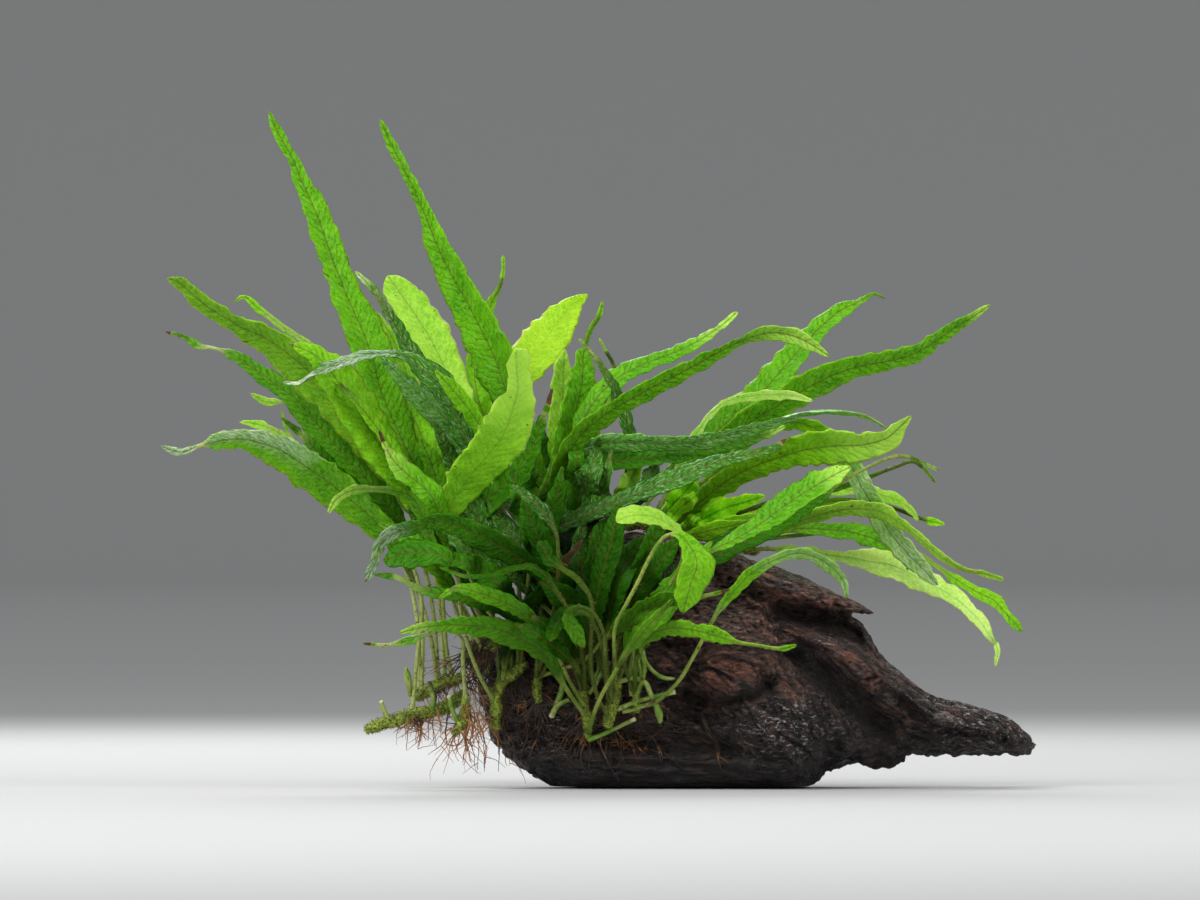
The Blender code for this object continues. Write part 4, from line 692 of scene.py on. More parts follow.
     [(9.9, 69.3, 1), (3, 67.5, 2), (-5, 66, 4), (-12, 65.5, 7), (-20, 61.5, 8), (-27, 57, 6),
      (-31, 54, 3), (-35, 50.4, 1.8), (-40.7, 44.3, 1.8), (-47.6, 41.4, 1.8), (-56.2, 39, 1.8)]),
    ("front_straight", "wood_middle", "mid", -1.3,
     [(-8, 63.5, 1), (-12, 60.5, 4), (-21, 53.5, 5), (-26, 47, 3), (-30.2, 40, 1.8), (-35.6, 30, 1.8),
      (-39, 20, 1.8)]),
]
# How much of a tip has browned.
WITHERED = {"left_broad": 1.6, "centre_brown_tip": 6, "left_yellow": 6, "speckled": 13, "left_string": 5,
            "with_sori": 3, "left_middle": 3, "glossy_grey": 2.5}
# How much of a leaf, from its tip, has a painted whitish sheen, and how strong that is.
PAINTED_SHEEN = {"left_low": (62, 1.0), "arch_dark": (36, 0.8), "right_grey": (85, 0.8),
            "centre_folded": (30, 0.7), "dark_upright": (12, 0.4), "front_arch_right": (60, 0.45)}
SILVERED_ABOVE = ["left_low"]        # past its tip, painted sheen only on the half of the blade that faces up
# How much of a leaf, from its tip, is still young and pale.
PALED = {"centre_broad": 50, "middle_thin": 24, "long_curved": 42, "glossy_straight": 28,
         "right_broad": 45, "right_long_front": 12, "left_yellow": 24, "left_light_arch": 26,
         "left_bright_low": 16, "dark_upright": 10, "twisted_dark": 8,
         "lime_over_long": 16, "under_glossy": 10, "right_upper": 12}
DIM_STALKS = ["front_spoon", "front_lobed"]      # given painted shade, deep in the clump
OPEN_FROM_X, OPEN_FROM_Z = -30, 70               # right of and above these a leaf's foot stands in the light


def tinted(colour, share, added=0.0):
    """The colour made darker or lighter."""
    return (*[share * channel + added for channel in colour], 1)


leaf_skins = {}
for look, (light, dark, rough, quilt, rib_dark, sheen, shaded, gloss, through) in LOOKS.items():
    skin = new_material("leaf, " + look, dark, rough)
    n = Nodes(skin)
    n.shader.inputs["Specular IOR Level"].default_value = gloss
    n.shader.inputs["Subsurface Weight"].default_value = through
    n.shader.inputs["Subsurface Radius"].default_value = (1, 1, 0.4)
    n.shader.inputs["Subsurface Scale"].default_value = THROUGH
    on_stalk, withered, painted_sheen_share = n.painted("state")
    young, dim_stalk, foot_in_open = n.painted("tone")
    where = n.add("ShaderNodeAttribute", attribute_name="on_leaf").outputs["Vector"]
    off, from_base, up = n.parts(where)
    off_rib = n.math("ABSOLUTE", off)
    # Light and dark patches, streaks that slant off the midrib, and a fine net.
    patch = n.speckle(110)
    outward = n.math("SUBTRACT", off_rib, n.math("MULTIPLY", from_base, 0.35))
    slanting = n.add("ShaderNodeCombineXYZ", {0: outward, 1: n.math("MULTIPLY", from_base, 0.28), 2: off})
    streak = n.noise(slanting.outputs[0], 1.25, 4, 0.7)
    net = n.noise(where, 1.2, 4, 0.7)
    green = n.mix(n.ramp(patch, 0.35, 0.65), (*dark, 1), (*light, 1))
    green = n.mix(n.ramp(net, 0.45, 0.62, 0.0, 0.3), green, tinted(light, 1.2))
    green = n.mix(n.ramp(streak, 0.48, 0.36, 0.0, 0.42 * quilt - 0.05), green, tinted(dark, 0.5))
    # Painted highlights on the cushions between the veins, which are dark lines.
    along_vein = n.math("SUBTRACT", from_base, n.math("MULTIPLY", off_rib, VEIN_SLANT))
    along_vein = n.math("ADD", along_vein, n.ramp(n.noise(where, 0.3, 2), 0.3, 0.7, 0.0, 2.4))
    vein = n.math("PINGPONG", along_vein, VEIN_SPACING / 2)
    cushion_highlight = n.math("MULTIPLY", n.ramp(vein, 0.3, 1.5), n.ramp(n.noise(where, 0.45, 3), 0.45, 0.62))
    green = n.mix(n.math("MULTIPLY", cushion_highlight, 0.4), green, tinted(light, 1.25, 0.02))
    green = n.mix(n.ramp(vein, 0.5, 0.0, 0.0, 0.09 * quilt), green, tinted(dark, 0.5))
    green = n.mix(n.math("MULTIPLY", young, 0.85), green, (0.42, 0.72, 0.092, 1))
    # A wide pale net, and the veins' dark feet beside the midrib.
    cells = n.add("ShaderNodeTexVoronoi", {"Vector": where, "Scale": 0.42}, feature="DISTANCE_TO_EDGE")
    netted = n.ramp(cells.outputs["Distance"], 0.11, 0.02, 0.0, 0.32)
    green = n.mix(netted, green, tinted(light, 1.35, 0.01))
    near_rib = n.ramp(off_rib, 3.6, 1.2, 0.0, 0.5 * quilt - 0.28)
    beside_rib = n.math("MULTIPLY", n.ramp(vein, 0.6, 0.1), near_rib)
    green = n.mix(beside_rib, green, tinted(dark, 0.4))
    # Painted sheen and glints on old glossy blades, and a painted silver sheen on some.
    green = n.mix(n.ramp(streak, 0.52, 0.60, 0.0, sheen), green, (0.30, 0.52, 0.21, 1))
    green = n.mix(n.ramp(streak, 0.585, 0.63, 0.0, sheen), green, (0.62, 0.76, 0.52, 1))
    silver = n.math("MULTIPLY", painted_sheen_share, n.ramp(streak, 0.44, 0.57, 0.2, 0.95))
    green = n.mix(silver, green, (0.56, 0.67, 0.48, 1))
    # The shade in the heart of the clump and round the leaf's foot.
    in_shade = (0.15 * dark[0], 0.22 * dark[1], 0.2 * dark[2], 1)
    in_clump = n.parts(n.place())
    from_heart = 0.0
    for socket, middle, half in zip((in_clump["X"], in_clump["Z"]), *HEART):
        away = n.math("SUBTRACT", n.math("MULTIPLY", socket, 1000 / half), middle / half)
        from_heart = n.math("ADD", from_heart, n.math("MULTIPLY", away, away))
    green = n.mix(n.ramp(from_heart, 0.1, 1.5, HEART_SHARE.get(look, 0.0), 0.0), green, in_shade)
    foot_shade = n.ramp(up, shaded - 0.4, shaded, 0.93, 0.0)
    at_foot = n.math("MULTIPLY", foot_shade, n.ramp(foot_in_open, 0, 1, 1.0, 0.3))
    green = n.mix(at_foot, green, in_shade)
    # The brown midrib, brown spots, the scaly stalk, and the withered tip.
    green = n.mix(n.math("MULTIPLY", n.ramp(off_rib, 0.42, 0.2), rib_dark), green, (0.095, 0.055, 0.014, 1))
    green = n.mix(n.ramp(n.noise(where, 0.55, 2), 0.70, 0.74, 0.0, 0.8), green, (0.07, 0.05, 0.01, 1))
    scale = n.speckle(700)
    stalk = n.mix(n.ramp(patch, 0.42, 0.62, 0.0, 0.8), (0.29, 0.36, 0.075, 1), (0.12, 0.23, 0.02, 1))
    stalk = n.mix(n.ramp(in_clump["X"], -0.065, -0.085, 0.0, 0.7), stalk, (0.44, 0.50, 0.17, 1))
    stalk = n.mix(n.ramp(scale, 0.60, 0.65, 0.0, 0.85), stalk, (0.09, 0.055, 0.018, 1))
    # Stalks deep in the clump are darkened with painted shade.
    stalk = n.mix(n.math("MULTIPLY", dim_stalk, 0.72), stalk, (0.030, 0.052, 0.006, 1))
    green = n.mix(on_stalk, green, stalk)
    dead = n.math("ADD", withered, n.math("MULTIPLY", n.math("SUBTRACT", net, 0.5), withered))
    yellow = n.mix(n.ramp(dead, 0.10, 0.40, 0.0, 0.8), green, (0.34, 0.36, 0.03, 1))
    green = n.mix(n.ramp(dead, 0.28, 0.50), yellow, (0.085, 0.050, 0.026, 1))
    n.finish(Base_Color=green, Roughness=n.ramp(net, 0.3, 0.7, rough - 0.06, rough + 0.14))
    relief = n.math("ADD", n.math("MULTIPLY", net, 0.6), n.math("MULTIPLY", streak, 0.6))
    n.bump(n.math("ADD", relief, n.ramp(vein, 0.0, 0.9)), 0.4 * quilt, 0.00035)
    leaf_skins[look] = skin


def smooth_line(rows, count, plane=2):
    """Count points, evenly spaced along a smooth curve through the rows; each column is carried along."""
    rows = np.array(rows, float)
    at = np.concatenate(([0], np.cumsum(np.linalg.norm(np.diff(rows[:, :plane], axis=0), axis=1))))
    slopes = np.gradient(rows, at, axis=0)
    fine = np.linspace(0, at[-1], 30 * len(rows))
    first = np.clip(np.searchsorted(at, fine, side="right") - 1, 0, len(rows) - 2)
    span = (at[first + 1] - at[first])[:, None]
    t = (fine - at[first])[:, None] / span
    curve = ((2 * t**3 - 3 * t**2 + 1) * rows[first] + (t**3 - 2 * t**2 + t) * span * slopes[first]
             + (3 * t**2 - 2 * t**3) * rows[first + 1] + (t**3 - t**2) * span * slopes[first + 1])
    run = np.concatenate(([0], np.cumsum(np.linalg.norm(np.diff(curve[:, :plane], axis=0), axis=1))))
    even = np.linspace(0, run[-1], count)
    return np.column_stack([np.interp(even, run, column) for column in curve.T])


def with_full_width(line, turn):
    """The line's rows with the blade's true width added where it isn't given."""
    rows = []
    for x, z, shows, *stated in line:
        full = stated[0] if stated else shows * abs(turn) if shows > PETIOLE else max(shows, THINNEST)
        rows.append((x, z, shows, full))
    return rows


def unit(rows):
    return rows / np.linalg.norm(rows, axis=1)[:, None]


def across_blade(knots, turn):
    """The blade's true width at each knot, and the unit vector across it."""
    along_x, along_z = unit(np.gradient(knots[:, :2], axis=0)).T
    full = np.maximum(knots[:, 3], knots[:, 2])
    roll = np.arccos(np.clip(knots[:, 2] / full, -1, 1)) * math.copysign(1, turn)
    return full, np.column_stack([-along_z * np.cos(roll), np.sin(roll), along_x * np.cos(roll)])


def foot_depth(rhizome, x, z):
    """The depth of a rhizome's middle at x, z."""
    near = rhizomes[rhizome]
    away = np.hypot(near[:, 0] - x, near[:, 2] - z)
    near = near[away < away.min() + 2.5]
    return (near[:, 1].min() + near[:, 1].max()) / 2


def depth_in_solid(node, line, turn, foot):
    """The depth of each section of a frond's solid, read from its side corners, down to its foot."""
    knots = smooth_line(line, FROND_KNOTS)
    full, across = across_blade(knots, turn)
    corners = points_of(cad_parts[node].data)
    depth = np.full(FROND_KNOTS, np.nan)
    for k in range(FROND_KNOTS - 1):
        sides = []
        for sign in (-1, 1):
            x, z = knots[k, :2] + sign * across[k, [0, 2]] * full[k] / 2
            away = np.hypot(corners[:, 0] - x, corners[:, 2] - z)
            if away.min() < 0.05:
                sides.append(corners[away.argmin(), 1] - sign * across[k, 1] * full[k] / 2)
        if sides:
            depth[k] = np.mean(sides)
    depth[-1] = foot
    known = ~np.isnan(depth)
    if known.sum() < FROND_KNOTS - 3:
        raise ValueError(f"{node}: its solid doesn't follow its line")
    return np.interp(np.arange(FROND_KNOTS), np.nonzero(known)[0], depth[known])


def uneven(seed, at, span):
    """Smooth random heights from -1 to 1 along at, with a swell every span or so."""
    knots = np.random.RandomState(seed).uniform(-1, 1, 4096)
    place = at / span + 1000
    low = np.floor(place).astype(int)
    t = place - low
    t = t * t * (3 - 2 * t)
    return knots[low % 4096] * (1 - t) + knots[(low + 1) % 4096] * t


def uneven_sheet(seed, u, v, span):
    """The same over a sheet."""
    knots = np.random.RandomState(seed).uniform(-1, 1, (128, 128))
    u, v = u / span + 300, v / span + 300
    i, j = np.floor(u).astype(int), np.floor(v).astype(int)
    s, t = u - i, v - j
    s, t = s * s * (3 - 2 * s), t * t * (3 - 2 * t)
    return ((knots[i % 128, j % 128] * (1 - s) + knots[(i + 1) % 128, j % 128] * s) * (1 - t)
            + (knots[i % 128, (j + 1) % 128] * (1 - s) + knots[(i + 1) % 128, (j + 1) % 128] * s) * t)


def sleeve(name, rings, sides):
    """A closed round piece of that many rings, made from a cylinder; its points are placed afterwards.

    Returns the object and, for each of its vertices, its ring and its place round the ring.
    """
    bpy.ops.object.select_all(action="DESELECT")
    bpy.ops.mesh.primitive_cylinder_add(vertices=sides, radius=1, depth=2, end_fill_type="NGON")
    made = bpy.context.object
    made.name = made.data.name = name
    bpy.ops.object.mode_set(mode="EDIT")
    select_edges(made, lambda a, b: abs(a.co.z - b.co.z) > 1)
    bpy.ops.mesh.subdivide(number_cuts=rings - 2)
    bpy.ops.object.mode_set(mode="OBJECT")
    x, y, z = vectors(made.data.vertices, "co").T.astype(float)
    ring = np.rint((1 - z) / 2 * (rings - 1)).astype(int)
    side = np.rint(np.arctan2(x, y) / (2 * math.pi) * sides).astype(int) % sides
    return made, ring, side


def face_outward():
    """Turns the faces of the piece at hand outwards and shades it smooth."""
    bpy.ops.object.mode_set(mode="EDIT")
    bpy.ops.mesh.select_all(action="SELECT")
    bpy.ops.mesh.normals_make_consistent(inside=False)
    bpy.ops.object.mode_set(mode="OBJECT")
    bpy.ops.object.shade_smooth()


def smooth_step(value):
    value = np.clip(value, 0, 1)
    return value * value * (3 - 2 * value)


placed = []              # points spread over the leaves that are in place
# Of their stalks: the middle, two directions across, the direction to the tip, and the way off the base.
stalks = []


def course(line, turn, depth):
    """Ring by ring: the leaf's middle, its heading, the direction across it, and its full width."""
    length = sum(math.dist(a[:2], b[:2]) for a, b in zip(line, line[1:]))
    rings = max(20, round(length / STATION))
    knots = smooth_line(line, rings)
    full, across = across_blade(knots, turn)
    y = smooth_line(np.column_stack([np.linspace(0, 1, len(depth)), depth]), rings, plane=1)[:, 1]
    middle = np.column_stack([knots[:, 0], y, knots[:, 1]])
    heading = unit(np.gradient(middle, axis=0))
    across = unit(across - heading * (across * heading).sum(axis=1)[:, None])
    return middle, heading, across, full


def half_widths(full, run):
    """Half the blade's width at each ring, drawn in to a rounded tip."""
    half = np.maximum(full, 0.5) / 2
    tip = max(half[0], 0.8)
    return half * np.sqrt(np.where(run < tip, np.clip(1 - (1 - run / tip)**2, 0.06, 1), 1))


def blade_surface(seed, quilted, step, upper, w, run, from_base):
    """How far each point lies off the midrib, and how far it is lifted out of the blade's plane.

    Step counts from the midrib to the margins, and w is half the blade's width where the point is.
    """
    sign, count = np.sign(step), np.abs(step)
    rib = np.array([0, *RIB_STEPS])
    outer = np.maximum(np.minimum(count - 2, RING_HALF - 2) / (RING_HALF - 2), 0)
    at_rib = np.minimum(rib[np.minimum(count, 2)], w * count / RING_HALF)
    off = np.where(count <= 2, at_rib, at_rib + (w - at_rib) * outer)
    u = off / np.maximum(w, 0.01)
    margin = run + 500 * (sign > 0)        # so that the two margins are notched in different places
    notch = np.clip(w / 3, 0, 1) * (0.55 * uneven(seed, margin, 1.7) + 0.55 * uneven(seed + 6, margin, 4.5))
    off = np.where(count > 2, off + notch * outer**2, off)
    offset = sign * np.maximum(off, 0)

    phase = uneven(seed + 1, margin, 9) * 2.4
    ruffle = 0.075 * w * u**2.2 * np.sin(run / 1.3 + phase + sign)
    gutter = (0.12 + 0.12 * uneven(seed + 2, run, 40)) * w * (u**1.6 - 0.3)
    wander = 0.9 * uneven_sheet(seed + 8, run, offset, 6)
    veins = np.abs(np.sin(math.pi * (from_base - VEIN_SLANT * off + wander) / VEIN_SPACING))**0.8
    swell = np.clip(w / 5, 0, 1)
    quilt = quilted * swell * (0.36 * veins + 0.22 * uneven_sheet(seed + 3, run, offset, 1.9))
    quilt *= np.clip(u * 4, 0, 1) * np.clip((1 - u) * 2.2, 0.2, 1)
    thick = BLADE_HALF * np.sqrt(np.maximum(1 - u**4, 0)) + EDGE_HALF * (count < RING_HALF)
    ridge = RIB_HEIGHT * RIB_PROFILE[count] * np.clip(w / 2.5, 0.3, 1)
    ridge *= np.where(upper > 0, 0.35, 1.0)
    return offset, ruffle + gutter + quilt + upper * (thick + ridge) * np.clip(w / 0.5, 0.15, 1)


def paint_leaf(mesh, name, seed, foot, dim_stalk, in_blade, w, run, on_leaf):
    """Stores what the leaf's material reads at each point."""
    withered, paled = WITHERED.get(name, 0), PALED.get(name, 0)
    sheen_length, sheen = PAINTED_SHEEN.get(name, (0, 0))
    dead = (withered - run) / max(withered * 0.5, 1) + 0.6 * uneven(seed + 5, run, 3)
    dead = np.clip(dead, 0, 1) * (withered > 0)
    # The painted silver sheen, strongest at the tip.
    silver = np.clip(1.4 * (1 - run / max(sheen_length, 1)) + 0.5 * uneven(seed + 7, run, 9), 0, 1)
    if name in SILVERED_ABOVE:
        silver *= np.maximum(smooth_step(0.5 + 0.8 * on_leaf[:, 0] / w), smooth_step(1.6 - run / 16))
    pale = smooth_step(1.3 * (1 - run / max(paled, 1))) * (paled > 0)
    in_open = smooth_step((foot[0] - OPEN_FROM_X) / 15) * smooth_step((foot[1] - OPEN_FROM_Z) / 10)
    paint(mesh, "state", (1 - in_blade, dead, silver * sheen))
    paint(mesh, "tone", (pale, np.full(len(run), dim_stalk), np.full(len(run), in_open)))
    spread = mesh.attributes.new("on_leaf", "FLOAT_VECTOR", "POINT")
    spread.data.foreach_set("vector", on_leaf.astype(np.float32).ravel())


def leaf(name, look, turn, line, depth, dim_stalk):
    """A frond's fine mesh, along its line and at the given depths of its knots."""
    seed = sum(ord(letter) * (k + 3) for k, letter in enumerate(name)) % 9973
    middle, heading, across, full = course(line, turn, depth)
    normal = np.cross(heading, across)
    run = np.concatenate(([0], np.cumsum(np.linalg.norm(np.diff(middle, axis=0), axis=1))))
    from_base = run[-1] - run
    rings, sides = len(middle), 4 * RING_HALF
    up = 1 - np.linspace(0, 1, rings)
    blade = smooth_step((full - PETIOLE) / 3.2)
    blade[:max(2, rings // 12)] = 1
    made, ring, side = sleeve("frond_" + name + "_leaf", rings, sides)

    # The ring runs along the upper face from one margin to the other, and back along the lower face.
    upper = np.where(side <= 2 * RING_HALF, 1.0, -1.0)
    step = np.where(side <= 2 * RING_HALF, side, sides - side) - RING_HALF
    w = half_widths(full, run)[ring]
    offset, lift = blade_surface(seed, LOOKS[look][3], step, upper, w, run[ring], from_base[ring])

    # Towards the base it closes into the round stalk.
    angle = side / sides * 2 * math.pi
    around = PETIOLE / 2 * (STALK_SLIM + FOOT_FLARE * np.exp(-from_base[ring] / FLARE_SPAN))
    in_blade = blade[ring]
    offset = in_blade * offset - (1 - in_blade) * around * np.cos(angle)
    lift = in_blade * lift + (1 - in_blade) * around * np.sin(angle)
    place = middle[ring] + across[ring] * offset[:, None] + normal[ring] * lift[:, None]
    set_points(made.data, place)
    on_leaf = np.column_stack([offset, from_base[ring], up[ring]])
    paint_leaf(made.data, name, seed, line[-1][:2], dim_stalk, in_blade, w, run[ring], on_leaf)
    made.data.materials.append(leaf_skins[look])
    face_outward()
    placed.append(place[::7])
    bare = blade < 0.5
    stalks.append(np.column_stack([middle, across, normal, -heading, from_base])[bare])
    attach(made, "root")
    return made


for name, rhizome, look, turn, line in FRONDS:
    line = with_full_width(line, turn)
    foot = foot_depth(rhizome, *line[-1][:2])
    depth = depth_in_solid("frond_" + name, line, turn, foot)
    made = leaf(name, look, turn, line, depth, name in DIM_STALKS)
    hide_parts("frond_" + name)


# --- fronds behind and between ---
# Smaller leaves of the same plant, most of them half hidden. They fill the clump's dark middle, and each is
# eased away from the leaves in place; in the thick of the clump some still cut their neighbours.

CLEAR = 2.5              # a new leaf is pushed off points of the leaves in place that are nearer than this
CLEAR_OF_WOOD = 1.5
NARROW = 2.5             # up to this width only a leaf's middle is looked at
NEARBY = 12              # leaves in place further off than this are left out
EASING_ROUNDS, EASING_SHARE = 45, 0.6
DIM_FROM_X = -75         # right of this, these leaves' stalks get painted shade, deep in the clump

